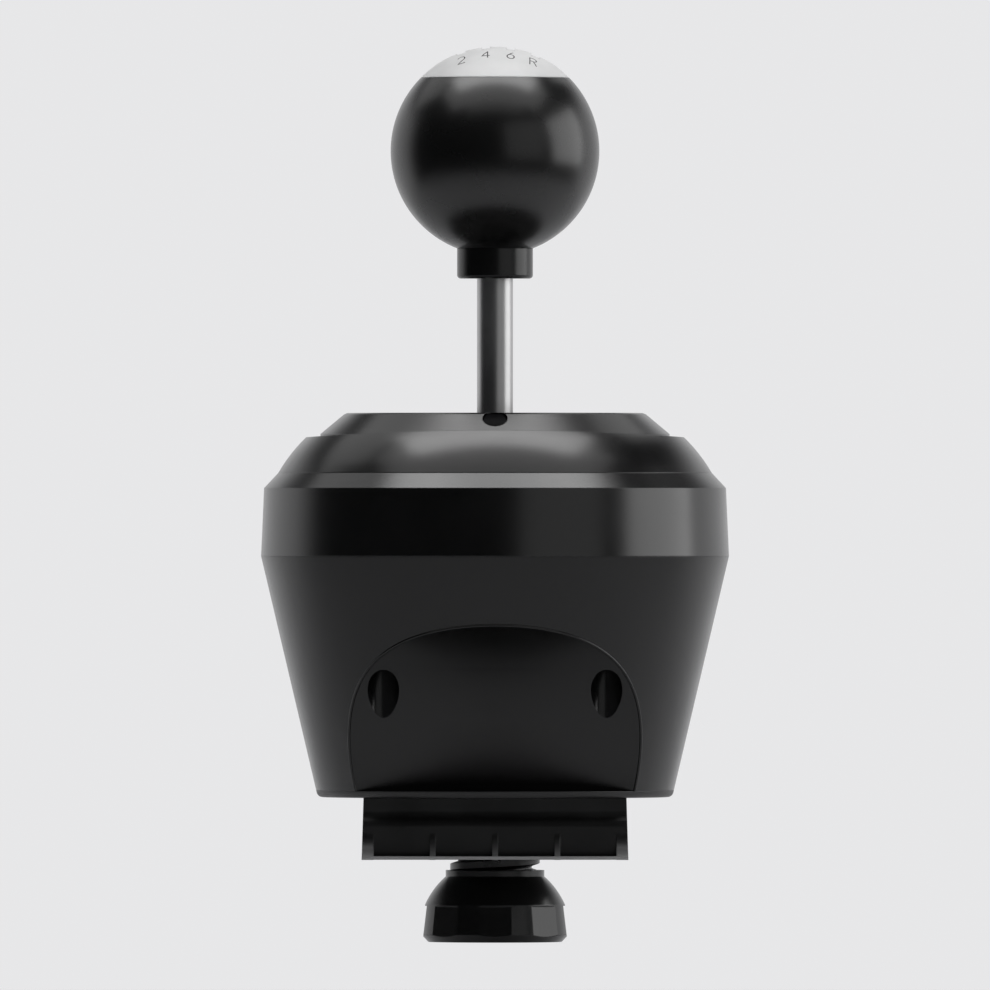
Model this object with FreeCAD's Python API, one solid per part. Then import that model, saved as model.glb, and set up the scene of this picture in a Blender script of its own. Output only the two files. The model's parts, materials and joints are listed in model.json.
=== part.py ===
import FreeCAD, Part
import math
import os

# Sim racing gear shifter. Millimetres, X to the driver's right, Y away from the driver, Z up.
# The origin is on the lever's axis, in the plane of the housing's flat underside.

V = FreeCAD.Vector
X_AXIS = V(1, 0, 0)
Y_AXIS = V(0, 1, 0)
Z_AXIS = V(0, 0, 1)
FAR = 200.0
PAST = 1.0

# Outer casing, a stack of round tiers
wall = 3.0
base_r = 59.1
part_r = 78.0
lower_height = 80.3
band_draft = 1.0
band_height = 22.7
chamfer_height = 5.0
ring_lip = 1.5
chamfer_width = 4.7
cover_mid_inset = 4.55
cover_mid_rise = 6.7
cover_top_inset = 12.3
cover_top_width = 1.8
cover_rise = 14.6
cover_spigot_wall = 2.5
crown_rise = 14.2
crown_sagitta = 2.2
crown_overhang = 2.0
deck_rise = 8.5
deck_thickness = 3.0
deck_ledge = 6.7
bezel_foot_rise = 13.0
bezel_cone_height = 7.0
bezel_wall = 2.5
bezel_skin = 1.2
bezel_slope_width = 8.4
rim_width = 2.4
rim_chamfer = 0.5
rim_skin = 3.4
dish_inset = 5.3
dish_height = 1.4
lip_gap = 0.1
lip_width = 2.2
spigot = 4.0
joint_gap = 0.3
rebate_gap = 0.5

# Base plate and the two threaded inserts for bolting the shifter to a rig
base_thickness = 2.3
base_round = 2.0
rig_spacing = 100.0
rig_thread_r = 2.5
rig_insert_r = 4.0
rig_insert_length = 9.0
rig_boss_r = 6.5

# Scoop on the driver's side, part of a large cylinder lying along X
scoop_r = 71.2
scoop_axis_y = -108.5
scoop_axis_z = -4.0

# Throat that the desk slides into, on the side away from the driver
throat_y = 8.0
throat_height = 36.0
throat_pad_thickness = 2.0
throat_pad_half_width = 28.0
throat_pad_length = 36.0
throat_pad_corner = 4.0

# Four casing screws, two of them in the deep bores seen in the scoop
casing_screw_x = 37.0
casing_screw_inset = 18.1732
casing_bore_r = 5.2
casing_bore_wall = 2.2
casing_seat_z = 62.0
casing_seat_thickness = 4.0
casing_head_r = 4.2
casing_head_height = 3.4
casing_shank_r = 2.0
casing_boss_r = 4.5
casing_boss_height = 18.0
casing_web = 2.5
casing_grip = 12.0
hole_clearance = 0.3
thread_clearance = 0.05
thread_runout = 1.0

# Lever pivot and gate
pivot_rise = 13.0
neck_r = 4.0
gate_thickness = 2.5
gate_pitch = 11.0
gate_columns = (-1, 0, 1, 2)
gate_clearance = 0.3
shift_angle = 12.0
gate_screw_inset = 6.7
gate_screw_r = 1.5
gate_screw_head_r = 2.8
gate_screw_head_height = 1.5
gate_screw_length = 8.0
gate_boss_r = 3.5

# Lever, knob and dust dome
shaft_r = 6.0
stick_reach = 87.3
shoulder_drop = 0.8
shoulder_taper = 1.2
knob_r = 34.8
cap_boundary = 24.4
cap_spigot_r = 20.0
cap_spigot = 3.0
cap_gap = 0.1
collar_r = 12.65
collar_drop = 42.5
collar_round = 1.2
insert_r = 9.0
insert_top_drop = 5.0
insert_end_wall = 1.5
shaft_thread_r = 5.0
shaft_thread_drop = 9.0
shaft_end_gap = 0.5
fit_gap = 0.05
dome_gap = 0.6
dome_thickness = 1.2
dome_half_angle = 45.0
dome_hub_r = 7.0
dome_hub_height = 10.0

# Gimbal mechanism under the gate
plate_thickness = 3.0
plate_half_x = 40.0
plate_front = 31.0
plate_back = 32.0
plate_corner = 6.0
window_half_x = 11.0
window_half_y = 16.5
cheek_inner_y = 22.0
cheek_thickness = 4.0
cheek_half_x = 11.0
gusset_thickness = 2.5
gusset_reach = 4.5
gusset_drop = 4.0
bushing_r = 6.0
bushing_flange_r = 7.5
bushing_flange = 1.0
trunnion_r = 4.0
running_clearance = 0.05
yoke_half_x = 15.0
yoke_half_y = 16.0
yoke_half_z = 7.0
yoke_window_half_x = 6.5
yoke_window_half_y = 9.8
yoke_round = 3.0
hub_half_x = 6.0
hub_r = 8.0
hub_stem_half_y = 6.0
hub_collar_r = 7.5
hub_collar_drop = 10.0
hub_collar_height = 11.0
hub_socket_depth = 9.0
pin_r = 3.0
pin_half_length = 17.0
cam_r = 12.0
cam_half_angle = 30.0
notch_r = 1.5
notch_depth = 0.6
leaf_half_x = 3.5
leaf_thickness = 0.5
leaf_foot_outer_y = 15.0
leaf_foot_inner_y = 11.0
leaf_bend_y = 7.0
leaf_drop = 13.9
crest_r = 1.4
spring_wire = 0.9
spring_coil_r = 5.2
spring_pitch = 1.2
spring_turns = 3.0
magnet_r = 3.0
magnet_thickness = 2.0
sensor_gap = 1.5
board_thickness = 1.6
tilt_board_half_x = 8.0
tilt_board_height = 20.0
swing_board_half_y = 8.0
swing_board_height = 12.0
swing_board_drop = 4.0
standoff_r = 1.5
standoff_y = 6.0
standoff_z = 1.0

# Main circuit board and its socket, on the side away from the driver
board_half_x = 24.0
board_near_y = 33.0
board_tongue_half_x = 8.0
board_tongue_length = 5.0
board_tongue_gap = 1.2208
board_standoff = 4.0
board_post_r = 2.5
board_post_x = 20.0
board_post_inset = 3.5
board_screw_r = 1.25
board_screw_tip_gap = 0.5
board_screw_head_r = 2.3
board_screw_head_height = 1.4
socket_half_width = 4.5
socket_height = 3.3
socket_skin = 0.35
socket_length = 8.4
socket_back_wall = 1.5
socket_setback = 1.2
socket_tongue_half_width = 3.3
socket_tongue_thickness = 0.7
socket_slot_gap = 0.4
socket_recess_r = 9.0
socket_recess_depth = 1.2

# Clamp bracket
bracket_drop = 20.5
bracket_top_half = 43.7
bracket_bottom_half = 44.3
bracket_front_y = -37.0
bracket_step = 1.5
bracket_step_top = 4.5
bracket_step_height = 5.0
bracket_wall = 4.0
rib_pitch = 20.7
rib_thickness = 1.9
rib_top = 11.7
foot_reach = 6.5
foot_thickness = 1.1
foot_rise = 0.1
foot_tip = 0.8
jaw_thickness = 4.0
jaw_side_length = 6.0
jaw_end_r = 24.0
jaw_boss_r = 20.0
jaw_boss_height = 12.0
jaw_web_x = 15.0
jaw_web_thickness = 3.0
jaw_web_drop = 2.0
clamp_axis_y = 32.0
bracket_screw_x = 32.0
bracket_screw_near_y = -24.0
bracket_screw_far_y = -4.0
bracket_screw_r = 2.5
bracket_screw_head_r = 4.25
bracket_screw_head_height = 4.0
bracket_counterbore_r = 5.0
bracket_counterbore = 5.0
bracket_column_r = 7.0
housing_column_r = 6.0
housing_web = 2.5

# Clamp screw, hand wheel and swivel pad
thread_r = 15.0
wheel_gap = 4.2
wheel_collar_r = 16.5
wheel_collar_height = 2.1
wheel_shoulder_r = 23.4
wheel_shoulder_height = 9.4
wheel_shoulder_bulge_r = 20.5
wheel_shoulder_bulge_drop = 4.4
wheel_skirt_r = 24.6
wheel_skirt_height = 10.1
wheel_chamfer = 2.4
wheel_chamfer_run = 2.3
wheel_flats = 8
wheel_flat_depth = 0.6
wheel_flat_drop = 0.4
wheel_recess_r = 15.0
wheel_recess_depth = 3.0
wheel_socket_r = 12.0
wheel_socket_depth = 14.0
wheel_screw_r = 3.0
wheel_screw_length = 12.0
wheel_screw_head_r = 5.5
wheel_screw_head_height = 2.6
desk_gap = 12.0
pad_r = 17.0
pad_height = 3.5
pad_rubber_thickness = 1.5
pad_rubber_inset = 0.5
pad_pin_r = 7.0
pad_pin_height = 2.6
pad_pin_gap = 0.1
pad_face_gap = 0.2
pad_edge_chamfer = 1.0

# Status lens in the bezel's sloping front, just under the rim
lens_r = 4.05
lens_gap = 0.1
lens_length = 4.5
lens_recess = 0.5
lens_dome = 0.4
lens_drop = 1.8

# Radii that follow from the sizes above, from the casing's widest line inwards
band_r = part_r - band_draft
cover_r = band_r - chamfer_width
cover_mid_r = cover_r - cover_mid_inset
cover_top_r = cover_r - cover_top_inset
crown_half_width = cover_top_r + crown_overhang
bezel_r = cover_top_r - cover_top_width
rim_r = bezel_r - bezel_slope_width
dish_r = rim_r - dish_inset
gate_radius = dish_r + lip_width
gate_screw_circle_r = gate_radius - gate_screw_inset
deck_hole_r = gate_radius - deck_ledge
slope = (part_r - base_r) / lower_height
casing_screw_y = base_r + throat_height * slope - casing_screw_inset

# Heights that follow from the sizes above
z_band = lower_height + band_height
z_seat = z_band + chamfer_height
z_deck = z_seat + deck_rise
z_crown = z_seat + crown_rise
z_cover_edge = z_seat + cover_rise
z_bezel_foot = z_seat + bezel_foot_rise
z_rim = z_bezel_foot + bezel_cone_height
z_gate_top = z_deck + gate_thickness
z_casing_seat_top = casing_seat_z + casing_seat_thickness
z_throat_top = throat_height + wall
z_plate = z_throat_top + plate_thickness
z_board = z_throat_top + board_standoff
z_board_top = z_board + board_thickness
board_tongue_y = base_r + z_board * slope - wall - board_tongue_gap
board_far_y = board_tongue_y - board_tongue_length
z_pivot = z_plate + pivot_rise
z_hub_collar = z_pivot + hub_collar_drop
z_stick_foot = z_hub_collar + hub_collar_height - hub_socket_depth
z_shoulder = z_rim - shoulder_drop
z_knob = z_rim + stick_reach
z_cap = z_knob + cap_boundary
z_collar = z_knob - collar_drop
z_collar_top = z_knob - math.sqrt(knob_r ** 2 - collar_r ** 2)
z_insert_top = z_knob - insert_top_drop
z_shaft_thread = z_collar + shaft_thread_drop
z_jaw_under = -bracket_drop
z_jaw_top = z_jaw_under + jaw_thickness
z_screw_seat = z_jaw_under + bracket_counterbore
z_wheel_top = z_jaw_under - wheel_gap
z_wheel_shoulder = z_wheel_top - wheel_collar_height
z_wheel_skirt = z_wheel_shoulder - wheel_shoulder_height
z_wheel_edge = z_wheel_skirt - wheel_skirt_height
z_wheel_bottom = z_wheel_edge - wheel_chamfer
z_wheel_seat = z_wheel_bottom + wheel_recess_depth
z_throat_pad = throat_height - throat_pad_thickness
z_pad_face = z_throat_pad - desk_gap
z_pad_top = z_pad_face - pad_rubber_thickness
z_pad_under = z_pad_top - pad_height

# Lever angles that the gate allows
gate_arm = z_deck + gate_thickness / 2 - z_pivot
side_angles = [math.atan2(column * gate_pitch, gate_arm) for column in gate_columns]
shift_tangent = math.tan(math.radians(shift_angle))


def box(x0, x1, y0, y1, z0, z1):
    return Part.makeBox(x1 - x0, y1 - y0, z1 - z0, V(x0, y0, z0))


def disc(r, z0, z1, x=0.0, y=0.0):
    return Part.makeCylinder(r, z1 - z0, V(x, y, z0))


def tube(r_out, r_in, z0, z1, x=0.0, y=0.0):
    return disc(r_out, z0, z1, x, y).cut(disc(r_in, z0 - PAST, z1 + PAST, x, y))


def joined(shapes):
    whole = shapes[0]
    for shape in shapes[1:]:
        whole = whole.fuse(shape)
    return whole.removeSplitter()


def edge_through(points):
    if len(points) == 2:
        return Part.LineSegment(points[0], points[1]).toShape()
    return Part.Arc(points[0], points[1], points[2]).toShape()


def outline(sides):
    """A closed face. Each side is two points for a straight line or three points for an arc."""
    return Part.Face(Part.Wire([edge_through(side) for side in sides]))


def chain(points):
    """Straight sides through the points, closed back to the first."""
    return list(zip(points, points[1:] + points[:1]))


def turned(points):
    """A solid turned about Z from (radius, height) points."""
    face = outline(chain([V(r, 0, z) for r, z in points]))
    return face.revolve(V(0, 0, 0), Z_AXIS, 360)


def turned_with_arc(arc, points):
    """The same with one arc, which the straight sides through the points close."""
    corners = [V(r, 0, z) for r, z in points]
    face = outline([[V(r, 0, z) for r, z in arc]] + list(zip(corners, corners[1:])))
    return face.revolve(V(0, 0, 0), Z_AXIS, 360)


def along_x(sides, half_width):
    """Extrudes a face drawn in the YZ plane to both sides of X = 0."""
    face = outline([[V(-half_width, y, z) for y, z in side] for side in sides])
    return face.extrude(V(2 * half_width, 0, 0))


def upright_web(x, thickness, points):
    """A flat web from its (Y, Z) corners, with its middle at x."""
    face = outline(chain([V(x - thickness / 2, y, z) for y, z in points]))
    return face.extrude(V(thickness, 0, 0))


def four_corners(x, y):
    return [(sx * x, sy * y) for sx in (-1, 1) for sy in (-1, 1)]


def bracket_screw_places():
    rows = (bracket_screw_near_y, bracket_screw_far_y)
    return [(side * bracket_screw_x, y) for side in (-1, 1) for y in rows]


def board_post_places():
    rows = (board_near_y + board_post_inset, board_far_y - board_post_inset)
    return [(side * board_post_x, y) for side in (-1, 1) for y in rows]


def gate_screw_places():
    place = gate_screw_circle_r / math.sqrt(2)
    return four_corners(place, place)


def radius_at(z):
    return base_r + z * slope


def upright_edges(length):
    return lambda edge: abs(edge.BoundBox.ZLength - length) < 0.01


def flat_circle_at(z, r):
    """Picks the whole circles of one radius at one height."""
    def wanted(edge):
        curve = edge.Curve
        same = isinstance(curve, Part.Circle) and abs(curve.Radius - r) < 0.01
        return same and abs(edge.BoundBox.ZMin - z) < 0.01 and abs(edge.BoundBox.ZMax - z) < 0.01
    return wanted


def round_edges(shape, radius, wanted):
    return shape.makeFillet(radius, [edge for edge in shape.Edges if wanted(edge)])


def scoop(extra):
    axis_start = V(-FAR, scoop_axis_y, scoop_axis_z)
    round_cut = Part.makeCylinder(scoop_r + extra, 2 * FAR, axis_start, X_AXIS)
    below = box(-FAR, FAR, -FAR, scoop_axis_y + scoop_r + extra, -FAR, scoop_axis_z)
    return round_cut.fuse(below)


def throat(extra):
    return box(-FAR, FAR, throat_y - extra, FAR, -FAR, throat_height + extra)


def rounded_bar(half_width, z0, height, y0, y1):
    """A bar along Y with half-round sides."""
    r = height / 2
    middle = half_width - r
    ends = [Part.makeCylinder(r, y1 - y0, V(x, y0, z0 + r), Y_AXIS) for x in (-middle, middle)]
    return joined([box(-middle, middle, y0, y1, z0, z0 + height)] + ends)


def make_lower_housing():
    """Moulded cone with the scoop, the desk throat and the inner columns."""
    height = lower_height - base_thickness
    outside = Part.makeCone(radius_at(base_thickness), part_r, height, V(0, 0, base_thickness))
    solid = outside.cut(scoop(0)).cut(throat(0))
    inside = Part.makeCone(radius_at(0) - wall, radius_at(lower_height + PAST) - wall, lower_height + PAST)
    shell = solid.cut(inside.cut(scoop(wall)).cut(throat(wall)))
    rebate_r = part_r - wall + rebate_gap
    shell = shell.cut(disc(rebate_r, lower_height - spigot - joint_gap, lower_height + PAST))

    adds = []
    for x, y in bracket_screw_places():
        adds.append(disc(housing_column_r, base_thickness, z_throat_top, x, y))
    for side in (-1, 1):
        x = side * bracket_screw_x
        adds.append(box(x - housing_web / 2, x + housing_web / 2, -FAR, throat_y - wall / 2,
                        base_thickness, throat_height))
        adds.append(disc(rig_boss_r, base_thickness, rig_insert_length + wall, side * rig_spacing / 2, 0))
    for x, y in board_post_places():
        adds.append(disc(board_post_r, throat_height + wall / 2, z_board, x, y))
    for x, y in four_corners(casing_screw_x, casing_screw_y):
        adds.append(disc(casing_bore_r + casing_bore_wall, base_thickness, z_casing_seat_top, x, y))
        adds.append(disc(casing_boss_r, z_casing_seat_top, lower_height, x, y))
    shell = joined([shell] + [add.common(solid) for add in adds])

    for x, y in four_corners(casing_screw_x, casing_screw_y):
        shell = shell.cut(disc(casing_bore_r, -PAST, casing_seat_z, x, y))
        shell = shell.cut(disc(casing_shank_r + hole_clearance, 0, lower_height + PAST, x, y))
    for x, y in bracket_screw_places():
        shell = shell.cut(disc(bracket_screw_r + hole_clearance, 0, z_throat_top + PAST, x, y))
    for side in (-1, 1):
        x = side * rig_spacing / 2
        shell = shell.cut(disc(rig_insert_r + thread_clearance, 0, rig_insert_length, x))
        shell = shell.cut(disc(rig_thread_r + hole_clearance, 0, rig_insert_length + wall + PAST, x))
    for x, y in board_post_places():
        shell = shell.cut(disc(board_screw_r + thread_clearance, z_throat_top, FAR, x, y))

    slot_height = socket_height + 2 * socket_slot_gap
    slot = rounded_bar(socket_half_width + socket_slot_gap, z_board_top - socket_slot_gap, slot_height,
                       board_far_y, FAR)
    recess_z = z_board_top + socket_height / 2
    recess_y = radius_at(recess_z) - socket_recess_depth
    recess = Part.makeCylinder(socket_recess_r, FAR, V(0, recess_y, recess_z), Y_AXIS)
    return shell.cut(slot).cut(recess)


def make_base_plate():
    """Round plate that closes the underside, cut off straight at the desk throat."""
    plate = Part.makeCone(base_r, radius_at(base_thickness), base_thickness)
    plate = round_edges(plate, base_round, flat_circle_at(0, base_r))
    plate = plate.cut(box(-FAR, FAR, throat_y, FAR, -PAST, base_thickness + PAST))
    for x, y in bracket_screw_places():
        plate = plate.cut(disc(bracket_screw_r + hole_clearance, -PAST, base_thickness + PAST, x, y))
    for side in (-1, 1):
        hole = disc(rig_insert_r + thread_clearance, -PAST, base_thickness + PAST, side * rig_spacing / 2)
        plate = plate.cut(hole)
    return plate


def make_rig_inserts():
    places = [side * rig_spacing / 2 for side in (-1, 1)]
    return [tube(rig_insert_r, rig_thread_r, 0, rig_insert_length, x) for x in places]


def make_upper_ring():
    """Band and chamfer, with a spigot into the lower housing and bosses for the casing screws."""
    inner_top_r = cover_r - wall + joint_gap
    spigot_r = part_r - wall
    ring = turned([
        (part_r, lower_height), (band_r, z_band), (cover_r, z_seat), (inner_top_r, z_seat),
        (inner_top_r, z_seat - ring_lip), (band_r - wall, z_band - ring_lip),
        (spigot_r - wall, lower_height + wall), (spigot_r - wall, lower_height - spigot),
        (spigot_r, lower_height - spigot), (spigot_r, lower_height),
    ])
    boss_top = lower_height + casing_boss_height
    adds = []
    for x, y in four_corners(casing_screw_x, casing_screw_y):
        web = box(math.hypot(x, y), band_r - wall / 2, -casing_web / 2, casing_web / 2,
                  lower_height, boss_top)
        web.rotate(V(0, 0, 0), Z_AXIS, math.degrees(math.atan2(y, x)))
        adds += [disc(casing_boss_r, lower_height, boss_top, x, y), web]
    ring = joined([ring] + adds)
    hole_top = lower_height + casing_grip + thread_runout
    for x, y in four_corners(casing_screw_x, casing_screw_y):
        ring = ring.cut(disc(casing_shank_r + thread_clearance, lower_height - PAST, hole_top, x, y))
    return ring


def make_casing_screws():
    screws = []
    for x, y in four_corners(casing_screw_x, casing_screw_y):
        head = disc(casing_head_r, casing_seat_z - casing_head_height, casing_seat_z, x, y)
        shank = disc(casing_shank_r, casing_seat_z, lower_height + casing_grip, x, y)
        screws.append(joined([head, shank]))
    return screws


def make_top_cover():
    """Convex ring with a top crowned from side to side, and the deck that carries the gate plate."""
    spigot_r = cover_r - wall
    spigot_inner_r = spigot_r - cover_spigot_wall
    pocket_r = bezel_r + joint_gap
    deck_under = z_deck - deck_thickness
    arc = [(cover_r, z_seat), (cover_mid_r, z_seat + cover_mid_rise), (cover_top_r, z_cover_edge)]
    cover = turned_with_arc(arc, [
        (cover_top_r, z_cover_edge), (pocket_r, z_cover_edge), (pocket_r, z_deck), (deck_hole_r, z_deck),
        (deck_hole_r, deck_under), (pocket_r + wall, deck_under), (spigot_inner_r, z_seat),
        (spigot_inner_r, z_seat - spigot), (spigot_r, z_seat - spigot), (spigot_r, z_seat), (cover_r, z_seat),
    ])
    crown_r = (crown_half_width ** 2 + crown_sagitta ** 2) / (2 * crown_sagitta)
    crown = Part.makeCylinder(crown_r, 2 * FAR, V(0, -FAR, z_crown - crown_r), Y_AXIS)
    cover = cover.common(crown)
    bosses = [disc(gate_boss_r, z_seat, z_deck - deck_thickness / 2, x, y) for x, y in gate_screw_places()]
    clear_of_dome = Part.makeSphere(z_deck - dome_gap / 2 - z_pivot, V(0, 0, z_pivot))
    cover = joined([cover] + [boss.cut(clear_of_dome) for boss in bosses])
    hole_bottom = z_gate_top - gate_screw_length - thread_runout
    for x, y in gate_screw_places():
        cover = cover.cut(disc(gate_screw_r + thread_clearance, hole_bottom, z_deck + PAST, x, y))
    return cover


def lens_frame():
    """Point on the bezel's slope and its outward direction, where the status lens sits."""
    run = bezel_r - rim_r
    length = math.hypot(run, bezel_cone_height)
    outward = V(0, -bezel_cone_height / length, run / length)
    middle = V(0, -rim_r - lens_drop * run / bezel_cone_height, z_rim - lens_drop)
    return middle, outward


def make_bezel_ring():
    """Sloping collar round the gate, hollow underneath."""
    gate_seat_r = gate_radius + joint_gap
    z_lip = z_gate_top + lip_gap
    chamfer_drop = rim_chamfer * bezel_cone_height / (bezel_r - rim_r)
    ring = turned([
        (bezel_r, z_deck), (bezel_r, z_bezel_foot), (rim_r + rim_chamfer, z_rim - chamfer_drop),
        (rim_r - rim_chamfer, z_rim), (rim_r - rim_width, z_rim), (dish_r, z_lip + dish_height),
        (dish_r, z_lip), (gate_seat_r, z_lip), (gate_seat_r, z_deck),
    ])
    hollow = turned([
        (bezel_r - bezel_wall, z_deck - PAST), (bezel_r - bezel_wall, z_bezel_foot - bezel_skin),
        (rim_r, z_rim - rim_skin), (gate_seat_r + bezel_wall, z_deck - PAST),
    ])
    middle, outward = lens_frame()
    start = middle - outward * (lens_length + PAST)
    return ring.cut(hollow).cut(Part.makeCylinder(lens_r + lens_gap, 2 * lens_length, start, outward))


def make_status_lens():
    """Round light pipe with a slightly domed face, set a little below the bezel's surface."""
    middle, outward = lens_frame()
    start = middle - outward * lens_length
    dome_r = (lens_r ** 2 + lens_dome ** 2) / (2 * lens_dome)
    ball = Part.makeSphere(dome_r, middle - outward * (lens_recess + dome_r))
    lens = Part.makeCylinder(lens_r, lens_length, start, outward).common(ball)
    return lens.cut(box(-FAR, FAR, -FAR, FAR, z_rim - lens_recess, FAR))


def stadium(x, half_width, y_end, z0, z1):
    core = box(x - half_width, x + half_width, -y_end, y_end, z0, z1)
    return joined([core, disc(half_width, z0, z1, x, -y_end), disc(half_width, z0, z1, x, y_end)])


def make_gate_plate():
    """Steel plate with the four shift columns and the neutral channel, as wide as the leaning lever needs."""
    plate = disc(gate_radius, z_deck, z_gate_top)
    half_t = gate_thickness / 2
    z0 = z_deck - PAST
    z1 = z_gate_top + PAST
    shift_cos = math.cos(math.radians(shift_angle))
    channel_edges = []
    for angle in side_angles:
        x = gate_arm * math.tan(angle)
        half_width = neck_r / math.cos(angle) / shift_cos + half_t * abs(math.tan(angle)) + gate_clearance
        y_end = (gate_arm + half_t) * shift_tangent / math.cos(angle)
        plate = plate.cut(stadium(x, half_width, y_end, z0, z1))
        channel_edges += [x - half_width, x + half_width]
    channel = neck_r + gate_clearance
    left = channel_edges[0] + channel
    right = channel_edges[-1] - channel
    plate = plate.cut(box(left, right, -channel, channel, z0, z1))
    for x, y in gate_screw_places():
        plate = plate.cut(disc(gate_screw_r + hole_clearance, z0, z1, x, y))
        sink = Part.makeCone(gate_screw_r + hole_clearance, gate_screw_head_r + hole_clearance,
                             gate_screw_head_height, V(x, y, z_gate_top - gate_screw_head_height))
        plate = plate.cut(sink)
    return plate


def make_gate_screws():
    z_neck = z_gate_top - gate_screw_head_height
    screws = []
    for x, y in gate_screw_places():
        head = Part.makeCone(gate_screw_r, gate_screw_head_r, gate_screw_head_height, V(x, y, z_neck))
        screws.append(joined([head, disc(gate_screw_r, z_gate_top - gate_screw_length, z_neck, x, y)]))
    return screws


def make_mechanism_frame():
    """Base plate with two ribbed cheeks that carry the gimbal's trunnions."""
    plate = box(-plate_half_x, plate_half_x, -plate_front, plate_back, z_throat_top, z_plate)
    plate = round_edges(plate, plate_corner, upright_edges(plate_thickness))
    plate = plate.cut(box(-window_half_x, window_half_x, -window_half_y, window_half_y,
                          z_throat_top - PAST, z_plate + PAST))
    shapes = [plate]
    outer = cheek_inner_y + cheek_thickness
    for side in (-1, 1):
        y0 = min(side * cheek_inner_y, side * outer)
        shapes.append(box(-cheek_half_x, cheek_half_x, y0, y0 + cheek_thickness,
                          z_throat_top + PAST, z_pivot))
        shapes.append(Part.makeCylinder(cheek_half_x, cheek_thickness, V(0, y0, z_pivot), Y_AXIS))
        for x in (-cheek_half_x + gusset_thickness / 2, cheek_half_x - gusset_thickness / 2):
            shapes.append(upright_web(x, gusset_thickness, [
                (side * outer, z_plate - PAST), (side * (outer + gusset_reach), z_plate - PAST),
                (side * (outer + gusset_reach), z_plate), (side * outer, z_pivot - gusset_drop),
            ]))
    frame = joined(shapes)
    frame = frame.cut(Part.makeCylinder(bushing_r + fit_gap, 2 * FAR, V(0, -FAR, z_pivot), Y_AXIS))
    for x, y in bracket_screw_places():
        frame = frame.cut(disc(bracket_screw_r + thread_clearance, 0, z_plate + PAST, x, y))
    return frame


def make_trunnion_bushings():
    """Flanged plain bearings pressed into the cheeks."""
    bushings = []
    for side in (-1, 1):
        direction = V(0, side, 0)
        start = V(0, side * (cheek_inner_y - bushing_flange), z_pivot)
        flange = Part.makeCylinder(bushing_flange_r, bushing_flange, start, direction)
        sleeve = Part.makeCylinder(bushing_r, cheek_thickness + bushing_flange, start, direction)
        bore = Part.makeCylinder(trunnion_r + running_clearance, FAR, V(0, 0, z_pivot), direction)
        bushings.append(joined([flange, sleeve]).cut(bore))
    return bushings


def make_gimbal_yoke():
    """Ring-shaped block that tilts sideways on its trunnions and carries the lever's cross pin."""
    z0 = z_pivot - yoke_half_z
    z1 = z_pivot + yoke_half_z
    block = box(-yoke_half_x, yoke_half_x, -yoke_half_y, yoke_half_y, z0, z1)
    block = round_edges(block, yoke_round, upright_edges(2 * yoke_half_z))
    block = block.cut(box(-yoke_window_half_x, yoke_window_half_x, -yoke_window_half_y, yoke_window_half_y,
                          z0 - PAST, z1 + PAST))
    tip = cheek_inner_y + cheek_thickness
    board_x = pin_half_length + magnet_thickness + sensor_gap
    shapes = [block]
    for side in (-1, 1):
        start = V(0, side * (yoke_half_y - PAST), z_pivot)
        shapes.append(Part.makeCylinder(trunnion_r, tip - yoke_half_y + PAST, start, V(0, side, 0)))
        start = V(yoke_half_x - PAST, side * standoff_y, z_pivot + standoff_z)
        shapes.append(Part.makeCylinder(standoff_r, board_x - yoke_half_x + PAST, start, X_AXIS))
    pin_hole = Part.makeCylinder(pin_r + running_clearance, 2 * FAR, V(-FAR, 0, z_pivot), X_AXIS)
    return joined(shapes).cut(pin_hole)


def make_centring_springs():
    """Two torsion springs of square wire, coiled round the trunnions."""
    half = spring_wire / 2
    corners = [V(spring_coil_r + dx * half, 0, dz * half) for dx, dz in ((-1, -1), (1, -1), (1, 1), (-1, 1))]
    springs = []
    for side in (-1, 1):
        helix = Part.makeHelix(spring_pitch, spring_pitch * spring_turns, spring_coil_r)
        section = Part.Wire([edge_through(ends) for ends in chain(corners)])
        coil = Part.Wire(helix.Edges).makePipeShell([section], True, True)
        coil.rotate(V(0, 0, 0), X_AXIS, -90 * side)
        coil.translate(V(0, side * (yoke_half_y + half + joint_gap), z_pivot))
        springs.append(coil)
    return springs


def make_detent_leaf():
    """Spring strip under the yoke with a round crest in the cam's middle notch."""
    z_foot = z_pivot - yoke_half_z
    z_low = z_pivot - leaf_drop
    t = leaf_thickness
    crest_z = z_pivot - cam_r - notch_r + notch_depth
    upper = [(leaf_foot_outer_y, z_foot), (leaf_foot_inner_y, z_foot), (leaf_bend_y, z_low)]
    lower = [(y, z - t) for y, z in reversed(upper)]
    points = upper + [(-y, z) for y, z in reversed(upper)]
    points += [(-y, z) for y, z in reversed(lower)] + lower
    strip = along_x(chain(points), leaf_half_x)
    crest = Part.makeCylinder(crest_r, 2 * leaf_half_x, V(-leaf_half_x, 0, crest_z), X_AXIS)
    crest_foot = box(-leaf_half_x, leaf_half_x, -crest_r, crest_r, z_low - t / 2, crest_z)
    return joined([strip, crest_foot, crest])


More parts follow.
